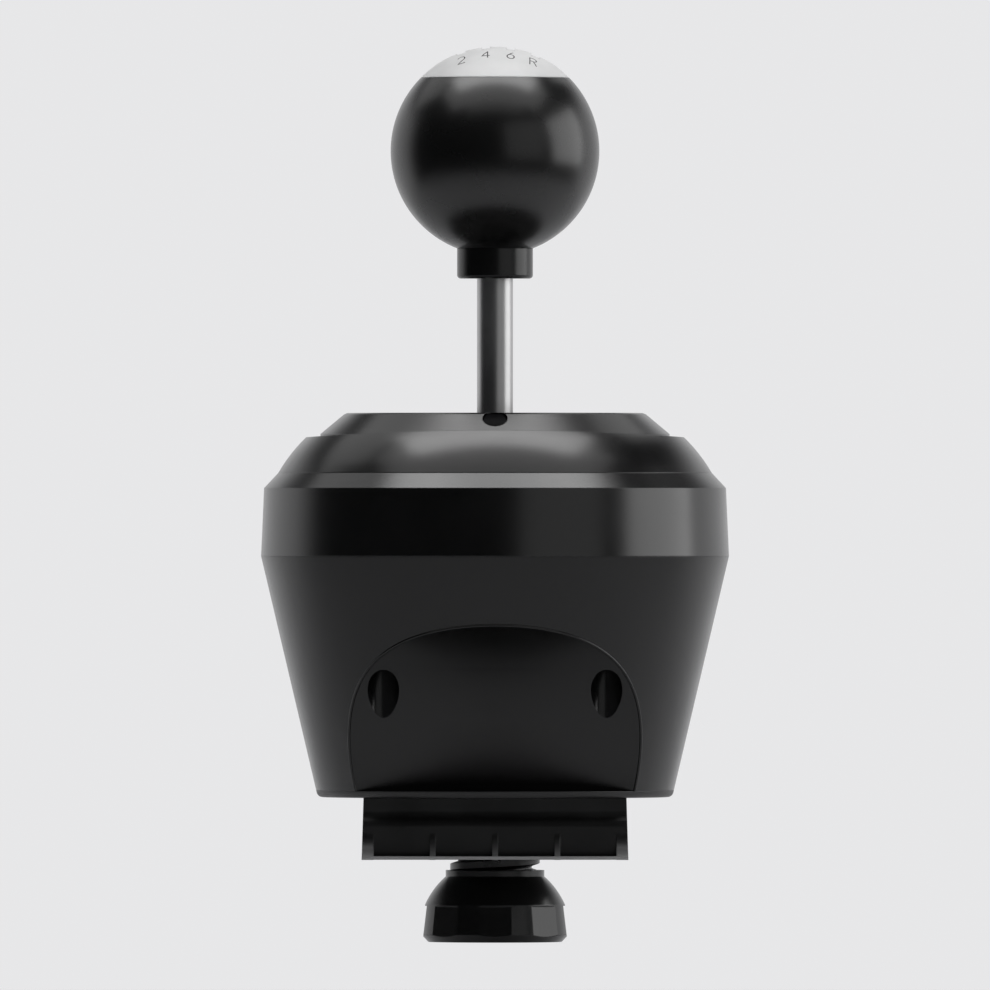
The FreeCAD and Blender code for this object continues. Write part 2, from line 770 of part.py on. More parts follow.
def make_lever_hub():
    """Pivot hub with a notched cam below and the socket for the lever shaft above."""
    barrel = Part.makeCylinder(hub_r, 2 * hub_half_x, V(-hub_half_x, 0, z_pivot), X_AXIS)
    angle = math.radians(cam_half_angle)
    cam_y = cam_r * math.sin(angle)
    cam_z = z_pivot - cam_r * math.cos(angle)
    cam = along_x([
        [(0, z_pivot), (-cam_y, cam_z)], [(-cam_y, cam_z), (0, z_pivot - cam_r), (cam_y, cam_z)],
        [(cam_y, cam_z), (0, z_pivot)],
    ], hub_half_x)
    stem = box(-hub_half_x, hub_half_x, -hub_stem_half_y, hub_stem_half_y, z_pivot, z_hub_collar + PAST)
    collar = disc(hub_collar_r, z_hub_collar, z_hub_collar + hub_collar_height)
    hub = joined([barrel, cam, stem, collar])
    reach = cam_r + notch_r - notch_depth
    for turn in (-shift_angle, 0, shift_angle):
        y = reach * math.sin(math.radians(turn))
        z = z_pivot - reach * math.cos(math.radians(turn))
        hub = hub.cut(Part.makeCylinder(notch_r, 2 * hub_half_x, V(-hub_half_x, y, z), X_AXIS))
    hub = hub.cut(Part.makeCylinder(pin_r, 2 * FAR, V(-FAR, 0, z_pivot), X_AXIS))
    return hub.cut(disc(neck_r, z_stick_foot, FAR))


def make_hub_pin():
    return Part.makeCylinder(pin_r, 2 * pin_half_length, V(-pin_half_length, 0, z_pivot), X_AXIS)


def make_lever_shaft():
    """Polished steel stick, necked down where it passes the gate, threaded into the knob."""
    z_end = z_insert_top - insert_end_wall - shaft_end_gap
    return turned([
        (0, z_stick_foot), (neck_r, z_stick_foot), (neck_r, z_shoulder - shoulder_taper),
        (shaft_r, z_shoulder), (shaft_r, z_shaft_thread), (shaft_thread_r, z_shaft_thread + thread_runout),
        (shaft_thread_r, z_end), (0, z_end),
    ])


def make_dust_dome():
    """Part of a sphere centred on the pivot, which closes the gate from below wherever the lever stands."""
    r_out = z_deck - dome_gap - z_pivot
    r_in = r_out - dome_thickness
    outer = Part.makeSphere(r_out, V(0, 0, z_pivot))
    shell = outer.cut(Part.makeSphere(r_in, V(0, 0, z_pivot)))
    angle = math.radians(dome_half_angle)
    cone_edge = (FAR * math.sin(angle), z_pivot + FAR * math.cos(angle))
    cone = turned([(0, z_pivot), cone_edge, (0, z_pivot + FAR)])
    z_shell = z_pivot + r_in
    hub = disc(dome_hub_r, z_shell - dome_hub_height, z_shell + dome_thickness / 2).common(outer)
    return joined([shell.common(cone), hub]).cut(disc(neck_r, z_pivot, FAR))


def make_knob_ball():
    """Ball with a flat for the collar, a pocket for the cap's spigot and a bore for the insert."""
    ball = Part.makeSphere(knob_r, V(0, 0, z_knob))
    ball = ball.common(disc(knob_r + PAST, z_collar_top, z_cap))
    ball = ball.cut(disc(cap_spigot_r + cap_gap, z_cap - cap_spigot - cap_gap, z_cap + PAST))
    return ball.cut(disc(insert_r, z_collar_top - PAST, z_insert_top))


def make_knob_cap():
    """Silver cap: the top of the ball's sphere, with a spigot let into the ball."""
    cap = Part.makeSphere(knob_r, V(0, 0, z_knob)).common(disc(knob_r, z_cap, z_knob + knob_r + PAST))
    return joined([cap, disc(cap_spigot_r, z_cap - cap_spigot, z_cap + PAST)])


def make_knob_collar():
    collar = disc(collar_r, z_collar, z_collar_top)
    collar = round_edges(collar, collar_round, flat_circle_at(z_collar, collar_r))
    return collar.cut(disc(shaft_r + fit_gap, z_collar - PAST, z_collar_top + PAST))


def make_knob_insert():
    """Threaded insert moulded into the ball."""
    insert = disc(insert_r, z_collar_top, z_insert_top)
    thread_bore = disc(shaft_thread_r + thread_clearance, z_collar_top - PAST, z_insert_top - insert_end_wall)
    mouth = disc(shaft_r + fit_gap, z_collar_top - PAST, z_shaft_thread + thread_runout)
    return insert.cut(thread_bore).cut(mouth)


def make_lever_magnet():
    return Part.makeCylinder(magnet_r, magnet_thickness, V(pin_half_length, 0, z_pivot), X_AXIS)


def make_tilt_magnet():
    """Magnet on the end of the far trunnion, which the upright board reads."""
    tip = cheek_inner_y + cheek_thickness
    return Part.makeCylinder(magnet_r, magnet_thickness, V(0, tip, z_pivot), Y_AXIS)


def make_tilt_sensor_board():
    """Upright board behind the far cheek, standing on the frame's plate."""
    y0 = cheek_inner_y + cheek_thickness + magnet_thickness + sensor_gap
    y1 = y0 + board_thickness
    return box(-tilt_board_half_x, tilt_board_half_x, y0, y1, z_plate, z_plate + tilt_board_height)


def make_swing_sensor_board():
    """Board on the yoke's two standoffs, which reads the magnet on the lever's pin."""
    x0 = pin_half_length + magnet_thickness + sensor_gap
    z0 = z_pivot - swing_board_drop
    return box(x0, x0 + board_thickness, -swing_board_half_y, swing_board_half_y, z0, z0 + swing_board_height)


def make_main_board():
    board = box(-board_half_x, board_half_x, board_near_y, board_far_y, z_board, z_board_top)
    tongue = box(-board_tongue_half_x, board_tongue_half_x, board_far_y - PAST, board_tongue_y,
                 z_board, z_board_top)
    board = joined([board, tongue])
    for x, y in board_post_places():
        board = board.cut(disc(board_screw_r + hole_clearance, z_board - PAST, z_board_top + PAST, x, y))
    return board


def make_board_screws():
    screws = []
    for x, y in board_post_places():
        head = disc(board_screw_head_r, z_board_top, z_board_top + board_screw_head_height, x, y)
        shank = disc(board_screw_r, z_throat_top + board_screw_tip_gap, z_board_top, x, y)
        screws.append(joined([head, shank]))
    return screws


def make_data_socket():
    """Metal shell of the cable socket with its contact tongue."""
    y1 = radius_at(z_board_top) - socket_setback
    y0 = y1 - socket_length
    skin = socket_skin
    shell = rounded_bar(socket_half_width, z_board_top, socket_height, y0, y1)
    hollow = rounded_bar(socket_half_width - skin, z_board_top + skin, socket_height - 2 * skin,
                         y0 + socket_back_wall, y1 + PAST)
    middle = z_board_top + socket_height / 2
    half_t = socket_tongue_thickness / 2
    tongue = box(-socket_tongue_half_width, socket_tongue_half_width, y0 + PAST, y1 - PAST,
                 middle - half_t, middle + half_t)
    return joined([shell.cut(hollow), tongue])


def step_sides(y, z_top):
    """Two tangent arcs that carry the bracket's front wall outward by bracket_step."""
    r = (bracket_step_height ** 2 + bracket_step ** 2) / (4 * bracket_step)
    turn = math.asin(bracket_step_height / 2 / r)
    start = (y, z_top)
    first = (y - r + r * math.cos(turn / 2), z_top - r * math.sin(turn / 2))
    middle = (y - bracket_step / 2, z_top - bracket_step_height / 2)
    second = (2 * middle[0] - first[0], 2 * middle[1] - first[1])
    end = (y - bracket_step, z_top - bracket_step_height)
    return [[start, first, middle], [middle, second, end]]


def rib(x0, x1):
    """One flared gusset between the bracket's front wall and its foot."""
    y_wall = bracket_front_y - bracket_step
    height = bracket_drop - rib_top - foot_tip
    r = (foot_reach ** 2 + height ** 2) / (2 * foot_reach)
    turn = math.asin(height / r)
    top = (y_wall, -rib_top)
    middle = (y_wall - r + r * math.cos(turn / 2), -rib_top - r * math.sin(turn / 2))
    tip = (y_wall - foot_reach, -rib_top - height)
    rest = [tip, (tip[0], z_jaw_under), (y_wall + PAST, z_jaw_under), (y_wall + PAST, -rib_top), top]
    sides = [(top, middle, tip)] + list(zip(rest, rest[1:]))
    face = outline([[V(x0, y, z) for y, z in side] for side in sides])
    return face.extrude(V(x1 - x0, 0, 0))


def make_jaw():
    """The jaw in plan: straight sides, then lines tangent to the round end."""
    corner_y = throat_y + jaw_side_length
    away = V(bracket_bottom_half, corner_y - clamp_axis_y, 0)
    angle = math.atan2(away.y, away.x) + math.acos(jaw_end_r / away.Length)
    tangent = (jaw_end_r * math.cos(angle), clamp_axis_y + jaw_end_r * math.sin(angle))
    tip = V(0, clamp_axis_y + jaw_end_r, z_jaw_under)
    right = [(bracket_bottom_half, throat_y - PAST), (bracket_bottom_half, corner_y), tangent]
    a = [V(x, y, z_jaw_under) for x, y in right]
    b = [V(-x, y, z_jaw_under) for x, y in right]
    sides = [[b[0], a[0]], [a[0], a[1]], [a[1], a[2]], [a[2], tip, b[2]], [b[2], b[1]], [b[1], b[0]]]
    return outline(sides).extrude(V(0, 0, jaw_thickness))


def make_clamp_bracket():
    """Cast bracket: box-shaped spine, ribbed foot on the driver's side, and the jaw with the screw boss."""
    y_low = bracket_front_y - bracket_step
    z_step = -bracket_step_top
    square = [(y_low, z_step - bracket_step_height), (y_low, z_jaw_under), (throat_y, z_jaw_under),
              (throat_y, 0), (bracket_front_y, 0), (bracket_front_y, z_step)]
    spine = along_x(step_sides(bracket_front_y, z_step) + list(zip(square, square[1:])), bracket_bottom_half)
    cavity_half = bracket_bottom_half - bracket_wall
    spine = spine.cut(box(-cavity_half, cavity_half, bracket_front_y + bracket_wall, throat_y - bracket_wall,
                          z_jaw_top, PAST))
    ribs = [rib(x - rib_thickness / 2, x + rib_thickness / 2) for x in (-rib_pitch, 0, rib_pitch)]
    ribs.append(rib(-bracket_bottom_half, -cavity_half))
    ribs.append(rib(cavity_half, bracket_bottom_half))
    foot_z = z_jaw_under + foot_rise
    foot = box(-cavity_half - PAST, cavity_half + PAST, y_low - foot_reach, y_low + PAST,
               foot_z, foot_z + foot_thickness)
    z_boss = z_jaw_under + jaw_boss_height
    boss = disc(jaw_boss_r, z_jaw_under, z_boss, 0, clamp_axis_y)
    webs = [upright_web(side * jaw_web_x, jaw_web_thickness, [
        (throat_y - PAST, z_jaw_top - PAST), (clamp_axis_y, z_jaw_top - PAST),
        (clamp_axis_y, z_boss - jaw_web_drop), (throat_y - PAST, -bracket_step_top),
    ]) for side in (-1, 1)]
    columns = [disc(bracket_column_r, z_jaw_under, 0, x, y) for x, y in bracket_screw_places()]
    bracket = joined([spine, foot, make_jaw(), boss] + ribs + webs + columns)
    corners = [(-bracket_top_half, 0), (bracket_top_half, 0), (bracket_bottom_half, z_jaw_under),
               (-bracket_bottom_half, z_jaw_under)]
    draft = outline(chain([V(x, -FAR, z) for x, z in corners]))
    bracket = bracket.common(draft.extrude(V(0, 2 * FAR, 0)))
    bracket = bracket.cut(disc(thread_r + running_clearance, -FAR, FAR, 0, clamp_axis_y))
    for x, y in bracket_screw_places():
        bracket = bracket.cut(disc(bracket_screw_r + hole_clearance, -FAR, PAST, x, y))
        bracket = bracket.cut(disc(bracket_counterbore_r, -FAR, z_screw_seat, x, y))
    return bracket


def make_bracket_screws():
    screws = []
    for x, y in bracket_screw_places():
        head = disc(bracket_screw_head_r, z_screw_seat - bracket_screw_head_height, z_screw_seat, x, y)
        screws.append(joined([head, disc(bracket_screw_r, z_screw_seat, z_plate, x, y)]))
    return screws


def make_throat_pad():
    """Rubber pad on the throat's ceiling, which rests on the desk."""
    y0 = clamp_axis_y - throat_pad_length / 2
    y1 = y0 + throat_pad_length
    pad = box(-throat_pad_half_width, throat_pad_half_width, y0, y1, z_throat_pad, throat_height)
    return round_edges(pad, throat_pad_corner, upright_edges(throat_pad_thickness))


def make_clamp_screw():
    """Coarse clamp screw at its major diameter, with a pin for the pad and a spigot for the wheel."""
    y = clamp_axis_y
    column = disc(thread_r, z_wheel_top, z_pad_under - pad_face_gap, 0, y)
    pin = disc(pad_pin_r, z_pad_under - PAST, z_pad_under + pad_pin_height - pad_pin_gap, 0, y)
    wheel_spigot = disc(wheel_socket_r - fit_gap, z_wheel_top - wheel_socket_depth, z_wheel_top + PAST, 0, y)
    screw_hole = disc(wheel_screw_r + thread_clearance, z_wheel_top - FAR, z_wheel_top, 0, y)
    return joined([column, pin, wheel_spigot]).cut(screw_hole)


def make_clamp_wheel():
    """Hand wheel: collar, convex shoulder, drafted skirt with shallow grip flats."""
    z_bulge = z_wheel_shoulder - wheel_shoulder_bulge_drop
    arc = [(wheel_collar_r, z_wheel_shoulder), (wheel_shoulder_bulge_r, z_bulge),
           (wheel_shoulder_r, z_wheel_skirt)]
    wheel = turned_with_arc(arc, [
        (wheel_shoulder_r, z_wheel_skirt), (wheel_skirt_r, z_wheel_edge),
        (wheel_skirt_r - wheel_chamfer_run, z_wheel_bottom), (wheel_recess_r, z_wheel_bottom),
        (wheel_recess_r, z_wheel_seat), (0, z_wheel_seat), (0, z_wheel_top), (wheel_collar_r, z_wheel_top),
        (wheel_collar_r, z_wheel_shoulder),
    ])
    draft = math.degrees(math.atan2(wheel_skirt_r - wheel_shoulder_r, wheel_skirt_height))
    flat_top = z_wheel_skirt - wheel_flat_drop
    for i in range(wheel_flats):
        cutter = box(wheel_shoulder_r - wheel_flat_depth, FAR, -wheel_shoulder_r, wheel_shoulder_r,
                     flat_top - FAR, flat_top)
        cutter.rotate(V(wheel_shoulder_r, 0, flat_top), Y_AXIS, -draft)
        cutter = cutter.cut(box(-FAR, FAR * 2, -FAR, FAR, flat_top, FAR))
        cutter.rotate(V(0, 0, 0), Z_AXIS, 360.0 / wheel_flats * i)
        wheel = wheel.cut(cutter)
    wheel = wheel.cut(disc(wheel_socket_r, z_wheel_top - wheel_socket_depth, z_wheel_top + PAST))
    wheel = wheel.cut(disc(wheel_screw_r + hole_clearance, z_wheel_bottom, z_wheel_top))
    wheel.translate(V(0, clamp_axis_y, 0))
    return wheel


def make_wheel_screw():
    head = disc(wheel_screw_head_r, z_wheel_seat - wheel_screw_head_height, z_wheel_seat, 0, clamp_axis_y)
    shank = disc(wheel_screw_r, z_wheel_seat, z_wheel_seat + wheel_screw_length, 0, clamp_axis_y)
    return joined([head, shank])


def make_swivel_pad():
    """Round shoe on the screw's pin."""
    c = pad_edge_chamfer
    pad = turned([(0, z_pad_under), (pad_r - c, z_pad_under), (pad_r, z_pad_under + c), (pad_r, z_pad_top),
                  (0, z_pad_top)])
    pad = pad.cut(disc(pad_pin_r + running_clearance, z_pad_under - PAST, z_pad_under + pad_pin_height))
    pad.translate(V(0, clamp_axis_y, 0))
    return pad


def make_pad_rubber():
    return disc(pad_r - pad_rubber_inset, z_pad_top, z_pad_face, 0, clamp_axis_y)


NODES = {
    "knob_ball": make_knob_ball,
    "knob_cap": make_knob_cap,
    "knob_collar": make_knob_collar,
    "knob_insert": make_knob_insert,
    "lever_shaft": make_lever_shaft,
    "lever_hub": make_lever_hub,
    "hub_pin": make_hub_pin,
    "lever_magnet": make_lever_magnet,
    "dust_dome": make_dust_dome,
    "gimbal_yoke": make_gimbal_yoke,
    "swing_sensor_board": make_swing_sensor_board,
    "tilt_magnet": make_tilt_magnet,
    "detent_leaf": make_detent_leaf,
    "centring_springs": make_centring_springs,
    "mechanism_frame": make_mechanism_frame,
    "trunnion_bushings": make_trunnion_bushings,
    "tilt_sensor_board": make_tilt_sensor_board,
    "gate_plate": make_gate_plate,
    "gate_screws": make_gate_screws,
    "bezel_ring": make_bezel_ring,
    "status_lens": make_status_lens,
    "top_cover": make_top_cover,
    "upper_ring": make_upper_ring,
    "lower_housing": make_lower_housing,
    "casing_screws": make_casing_screws,
    "base_plate": make_base_plate,
    "rig_inserts": make_rig_inserts,
    "main_board": make_main_board,
    "board_screws": make_board_screws,
    "data_socket": make_data_socket,
    "clamp_bracket": make_clamp_bracket,
    "bracket_screws": make_bracket_screws,
    "throat_pad": make_throat_pad,
    "clamp_screw": make_clamp_screw,
    "clamp_wheel": make_clamp_wheel,
    "wheel_screw": make_wheel_screw,
    "swivel_pad": make_swivel_pad,
    "pad_rubber": make_pad_rubber,
}

os.makedirs("parts", exist_ok=True)
for node, make in NODES.items():
    made = make()
    shape = Part.makeCompound(made) if isinstance(made, list) else made
    shape.exportStep("parts/" + node + ".step")
    print(node, len(shape.Solids), "solids", shape.isValid(), round(shape.Volume, 1), "mm3")

print("pivot height", round(z_pivot, 3), "clamp axis", clamp_axis_y)
print("side angles", [round(math.degrees(angle), 3) for angle in side_angles])
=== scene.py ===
import json
import math

import bmesh
import bpy
from mathutils import Matrix, Vector


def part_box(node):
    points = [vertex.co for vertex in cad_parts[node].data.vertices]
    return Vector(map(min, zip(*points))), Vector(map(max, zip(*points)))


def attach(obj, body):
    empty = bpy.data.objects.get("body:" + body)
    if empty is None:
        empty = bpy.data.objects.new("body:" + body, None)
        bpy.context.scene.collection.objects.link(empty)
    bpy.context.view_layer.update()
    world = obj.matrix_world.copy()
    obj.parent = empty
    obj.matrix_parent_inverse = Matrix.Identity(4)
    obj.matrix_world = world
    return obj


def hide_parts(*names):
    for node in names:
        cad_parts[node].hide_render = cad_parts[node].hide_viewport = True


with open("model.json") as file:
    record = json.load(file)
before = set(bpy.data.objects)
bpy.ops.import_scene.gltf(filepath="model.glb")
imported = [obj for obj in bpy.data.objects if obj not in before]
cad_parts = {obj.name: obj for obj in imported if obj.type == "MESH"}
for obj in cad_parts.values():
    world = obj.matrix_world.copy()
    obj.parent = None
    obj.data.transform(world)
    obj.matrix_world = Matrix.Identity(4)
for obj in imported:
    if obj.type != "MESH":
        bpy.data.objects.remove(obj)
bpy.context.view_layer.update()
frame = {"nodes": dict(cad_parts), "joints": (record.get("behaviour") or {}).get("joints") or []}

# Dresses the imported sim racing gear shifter.
# Scene in metres, sizes of pieces in millimetres, in the CAD's frame: X right, Y away from the driver, Z up.
mm = 0.001


def spans(node):
    """How far a CAD node reaches along X, Y and Z, each as (low, high) in millimetres."""
    low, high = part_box(node)
    return [(round(a / mm, 4), round(b / mm, 4)) for a, b in zip(low, high)]


# Knob, and the cap let into the top of its ball
knob_r = 34.8
cap_foot_z, cap_top_z = spans("knob_cap")[2]
cap_seam_z = spans("knob_ball")[2][1]
knob_z = cap_top_z - knob_r
cap_spigot_r = 20.0
cap_gap = 0.1
cap_lip_angle = 0.35
cap_edge = 0.12
cap_segments = 180
cap_steps = 40

# Engraving on the cap: the grooves, and the numerals with their distances from the ball's surface
groove_count = 4
groove_first_x = -11.27
groove_pitch = 8.25
groove_width = 2.8
groove_depth = 0.45
groove_reach = 8.2
groove_min_half = 0.02
groove_steps = 16
cross_groove_steps = 24
numeral_rows = ("246R", "1357")
numeral_row_y = 13.2
numeral_columns = (-11.2, -3.05, 5.2, 12.75)
numeral_height = 5.4
numeral_slim = 0.8
numeral_stroke = 0.36
numeral_sink = 0.12
numeral_rise = 0.02
numeral_step = 0.6
numeral_widest = 2.0
glyph_width = 0.6

# Clamp screw, between the hand wheel and the swivel pad
clamp_x, clamp_y, clamp_z = spans("clamp_screw")
clamp_axis = (0.0, (clamp_y[0] + clamp_y[1]) / 2)
thread_r = clamp_x[1]
thread_root_r = 12.3
thread_pitch = 5.0
thread_crest_z = -21.2
thread_crest_half = 1.05
thread_crest_round = (0.35, 0.25)
thread_root_start = 2.25
thread_root_round = 0.3
thread_steps = 72
spare_turns = 2
thread_foot_z = spans("clamp_wheel")[2][1]
pad_gap = 0.2
thread_top_z = spans("swivel_pad")[2][0] - pad_gap
clamp_pin_r = 7.0
clamp_shank_r = 11.95
clamp_end_round = 0.4
clamp_overlap = 1.0
clamp_segments = 48

# Screws: their places in plan, and how far each is turned on from the one before
casing_screw_x = 37.0
casing_screw_y = 49.4
bracket_screw_x = 32.0
bracket_screw_rows = (-24.0, -4.0)
gate_circle_r = 40.0
board_screw_x = 20.0
board_screw_rows = (36.5, 56.5)
screw_turn = 37.0
screw_segments = 48

# How far a cutting body reaches past the face that it cuts
cut_past = 1.0

# Rubber pads
pad_segments = 72
pad_grooves = 4
pad_groove_pitch = 3.4
pad_groove_half = 0.5
pad_groove_foot_half = 0.35
pad_groove_depth = 0.5
pad_rim_round = 0.3
throat_corner = 4.0
throat_grooves = 7
throat_groove_pitch = 4.5
throat_groove_half = 0.5
throat_groove_depth = 0.6
throat_groove_margin = 3.5
throat_edge = 0.2

# Contacts of the data socket
contacts_in_row = 12
contact_pitch = 0.5
contact_half = 0.13
contact_length = 4.6
contact_thickness = 0.03
contact_row_rise = 0.35
contact_inset = 1.3

# The housing's cone, the round scoop cut into it, and the bead along the scoop's edge
housing_x, _, housing_z = spans("lower_housing")
cone_r = 59.1
cone_slope = (housing_x[1] - cone_r) / housing_z[1]
scoop_r = 71.2
scoop_axis_y = -108.5
scoop_axis_z = -4.0
bead_r = 0.5
bead_sides = 12
bead_steps = 80

# Light: the even part for rough surfaces, what is behind the object, and the dark room before it
ambient_level = 0.15
ambient_colour = (0.95, 0.97, 1.0)
backdrop_colour = (0.80, 0.80, 0.81)
room_level = 0.02
room_colour = (0.9, 0.95, 1.0)
backdrop_side = (0.1, 0.5)
backdrop_height = (0.55, 0.25)

# Floor in metres, just under the hand wheel at the lower end of its travel
clamp_feed = next(joint for joint in frame["joints"] if joint["name"] == "clamp_feed")
clamp_drop = -clamp_feed["range_m"][0] / mm
floor_clearance = 3.8
floor_z = (spans("clamp_wheel")[2][0] - clamp_drop - floor_clearance) * mm
floor_r = 1.5
floor_rings = 5
floor_segments = 96
floor_colour = (0.66, 0.66, 0.67)
floor_fade = (0.45, 0.95)

# Camera in metres, far off and level, as in the photograph
camera_place = (0.0, -11.0, 0.10067)
camera_lens = 1200.0
camera_sensor = 36.0
camera_near = 0.5
camera_far = 100.0

# Most noise values lie in this range, which tones and roughness are spread over
noise_low = 0.3
noise_high = 0.7

# Vertices this near to each other are one, in metres, and a point this near to a lathe's axis is on it
merge_distance = 1e-8
on_axis = merge_distance / mm

# Edges that turn by more than this many degrees are shaded as sharp
sharp_angle = 30


# Shader node helpers

def add_node(tree, kind, inputs=None, **settings):
    """Adds a shader node. An input given as another node's output is linked, any other one is set."""
    made = tree.nodes.new("ShaderNode" + kind)
    for name, value in settings.items():
        setattr(made, name, value)
    for name, value in (inputs or {}).items():
        if isinstance(value, bpy.types.NodeSocket):
            tree.links.new(value, made.inputs[name])
        else:
            made.inputs[name].default_value = value
    return made


def product(tree, first, second):
    return add_node(tree, "Math", {0: first, 1: second}, operation="MULTIPLY").outputs[0]


def faded(tree, value, start, end, kind="SMOOTHSTEP"):
    """0 up to the start, 1 from the end on."""
    span = {"Value": value, "From Min": start, "From Max": end}
    return add_node(tree, "MapRange", span, interpolation_type=kind).outputs["Result"]


def mixed(tree, factor, first, second):
    """The first shader where the factor is 0, the second where it is 1."""
    return add_node(tree, "MixShader", {"Fac": factor, 1: first, 2: second}).outputs[0]


def place_of(tree, stretch=(1, 1, 1), centre=(0, 0, 0)):
    """Object coordinates, moved and stretched."""
    coords = add_node(tree, "TexCoord").outputs["Object"]
    moved = [-c * s for c, s in zip(centre, stretch)]
    mapping = add_node(tree, "Mapping", {"Vector": coords, "Location": moved, "Scale": stretch})
    return mapping.outputs["Vector"]


def turned_place(tree, centre_y, along=60.0, around=3.0):
    """Coordinates for lathe marks: fine along the axis and over the radius, slow round it."""
    parts = add_node(tree, "SeparateXYZ", {0: place_of(tree, centre=(0, centre_y, 0))})
    flat = add_node(tree, "CombineXYZ", {"X": parts.outputs["X"], "Y": parts.outputs["Y"]}).outputs[0]
    radius = add_node(tree, "VectorMath", {0: flat}, operation="LENGTH").outputs["Value"]
    rings = add_node(tree, "Math", {0: radius, 1: parts.outputs["Z"]}, operation="ADD").outputs[0]
    upward = add_node(tree, "CombineXYZ", {"Z": product(tree, rings, along)}).outputs[0]
    slow = add_node(tree, "VectorMath", {0: flat, "Scale": around}, operation="SCALE").outputs[0]
    return add_node(tree, "VectorMath", {0: slow, 1: upward}, operation="ADD").outputs[0]


def noise(tree, where, size, detail=2.0, rough=0.5):
    """Noise with lumps of the given size in millimetres."""
    look = {"Vector": where, "Scale": 1.0 / (size * mm), "Detail": detail, "Roughness": rough}
    return add_node(tree, "TexNoise", look).outputs["Fac"]


def grains(tree, where, size):
    """Round grains of the given size in millimetres."""
    return add_node(tree, "TexVoronoi", {"Vector": where, "Scale": 1 / (size * mm)}).outputs["Distance"]


def tinted(tree, shader, value, dark, light):
    ramp = add_node(tree, "ValToRGB", {"Fac": value})
    for stop, place, colour in zip(ramp.color_ramp.elements, (noise_low, noise_high), (dark, light)):
        stop.position = place
        stop.color = (*colour, 1)
    tree.links.new(ramp.outputs["Color"], shader.inputs["Base Color"])


def roughened(tree, shader, value, low, high):
    span = {"Value": value, "From Min": noise_low, "From Max": noise_high, "To Min": low, "To Max": high}
    tree.links.new(add_node(tree, "MapRange", span).outputs["Result"], shader.inputs["Roughness"])


def edge_normal(tree, radius):
    """A normal that rounds sharp edges by the radius in millimetres, so that they catch the light."""
    return add_node(tree, "Bevel", {"Radius": radius * mm}, samples=6).outputs["Normal"]


def bumped(tree, shader, layers, start=None):
    """Adds bump layers, each (height field, strength, depth in millimetres), one over the other."""
    last = start
    for value, strength, depth in layers:
        layer = {"Height": value, "Strength": strength, "Distance": depth * mm}
        if last is not None:
            layer["Normal"] = last
        last = add_node(tree, "Bump", layer).outputs["Normal"]
    tree.links.new(last, shader.inputs["Normal"])


# Materials, kept in finishes under the name of their slot. Sizes in them are in millimetres.

finishes = {}


def new_material(name):
    made = bpy.data.materials.new(name)
    made.use_nodes = True
    tree = made.node_tree
    tree.nodes.clear()
    shader = add_node(tree, "BsdfPrincipled")
    add_node(tree, "OutputMaterial", {"Surface": shader.outputs["BSDF"]})
    finishes[name] = made
    return tree, shader


def grey(value):
    return (value, value, value)


def plastic(name, dark, light, rough, grain=0.4, depth=0.002, specular=0.5, edge=0.35):
    """Moulded plastic, from a dark to a light grey: fine grain, and slight unevenness in gloss and tone."""
    tree, shader = new_material(name)
    where = place_of(tree)
    broad = noise(tree, where, 14, detail=3)
    fine = noise(tree, where, grain, rough=0.6)
    speck = noise(tree, where, 0.4 * grain, detail=1)
    tinted(tree, shader, broad, grey(dark), grey(light))
    roughened(tree, shader, broad, *rough)
    bumped(tree, shader, [(fine, 0.5, depth), (speck, 0.35, 0.5 * depth)], edge_normal(tree, edge))
    shader.inputs["Specular IOR Level"].default_value = specular


# Turned coordinates are stretched, and the marks in them are this many times as coarse
turned_coarser = 20


def metal(name, dark, light, rough, turned=False, stretch=(1, 1, 1), mark=0.25, depth=0.004):
    """Metal with machining marks: rings round the lever's axis when turned, else streaks or specks."""
    tree, shader = new_material(name)
    where = place_of(tree)
    if turned:
        marks_at, size = turned_place(tree, 0.0), turned_coarser * mark
    else:
        marks_at, size = place_of(tree, stretch), mark
    marks = noise(tree, marks_at, size, detail=3, rough=0.6)
    cloud = noise(tree, where, 9, detail=3)
    fine = noise(tree, where, 0.3)
    tinted(tree, shader, cloud, dark, light)
    roughened(tree, shader, marks, *rough)
    bumped(tree, shader, [(marks, 0.5, depth), (fine, 0.25, 0.4 * depth)])
    shader.inputs["Metallic"].default_value = 1.0


def satin_paint(name, dark, light, rough, metallic, edge):
    """Satin silver paint: flat, with a very fine flake in it."""
    tree, shader = new_material(name)
    where = place_of(tree)
    cloud = noise(tree, where, 6, detail=3)
    tinted(tree, shader, cloud, dark, light)
    roughened(tree, shader, cloud, *rough)
    bumped(tree, shader, [(grains(tree, where, 0.12), 0.2, 0.0015)], edge_normal(tree, edge))
    shader.inputs["Metallic"].default_value = metallic


def cast_metal(name, dark, light, rough):
    """Sand-like cast surface."""
    tree, shader = new_material(name)
    where = place_of(tree)
    lumps = noise(tree, where, 0.9, detail=3, rough=0.6)
    cloud = noise(tree, where, 11, detail=3)
    tinted(tree, shader, cloud, dark, light)
    roughened(tree, shader, lumps, *rough)
    bumped(tree, shader, [(lumps, 0.5, 0.02), (grains(tree, where, 0.45), 0.3, 0.012)])
    shader.inputs["Metallic"].default_value = 1.0


def rubber(name):
    """Dull rubber with dust on it."""
    tree, shader = new_material(name)
    where = place_of(tree)
    lumps = noise(tree, where, 0.5, detail=3, rough=0.7)
    dust = noise(tree, where, 6, detail=4)
    tinted(tree, shader, dust, (0.010, 0.010, 0.011), (0.022, 0.022, 0.023))
    roughened(tree, shader, dust, 0.62, 0.82)
    bumped(tree, shader, [(lumps, 0.6, 0.03)])
    shader.inputs["Sheen Weight"].default_value = 0.15
    shader.inputs["Sheen Roughness"].default_value = 0.4


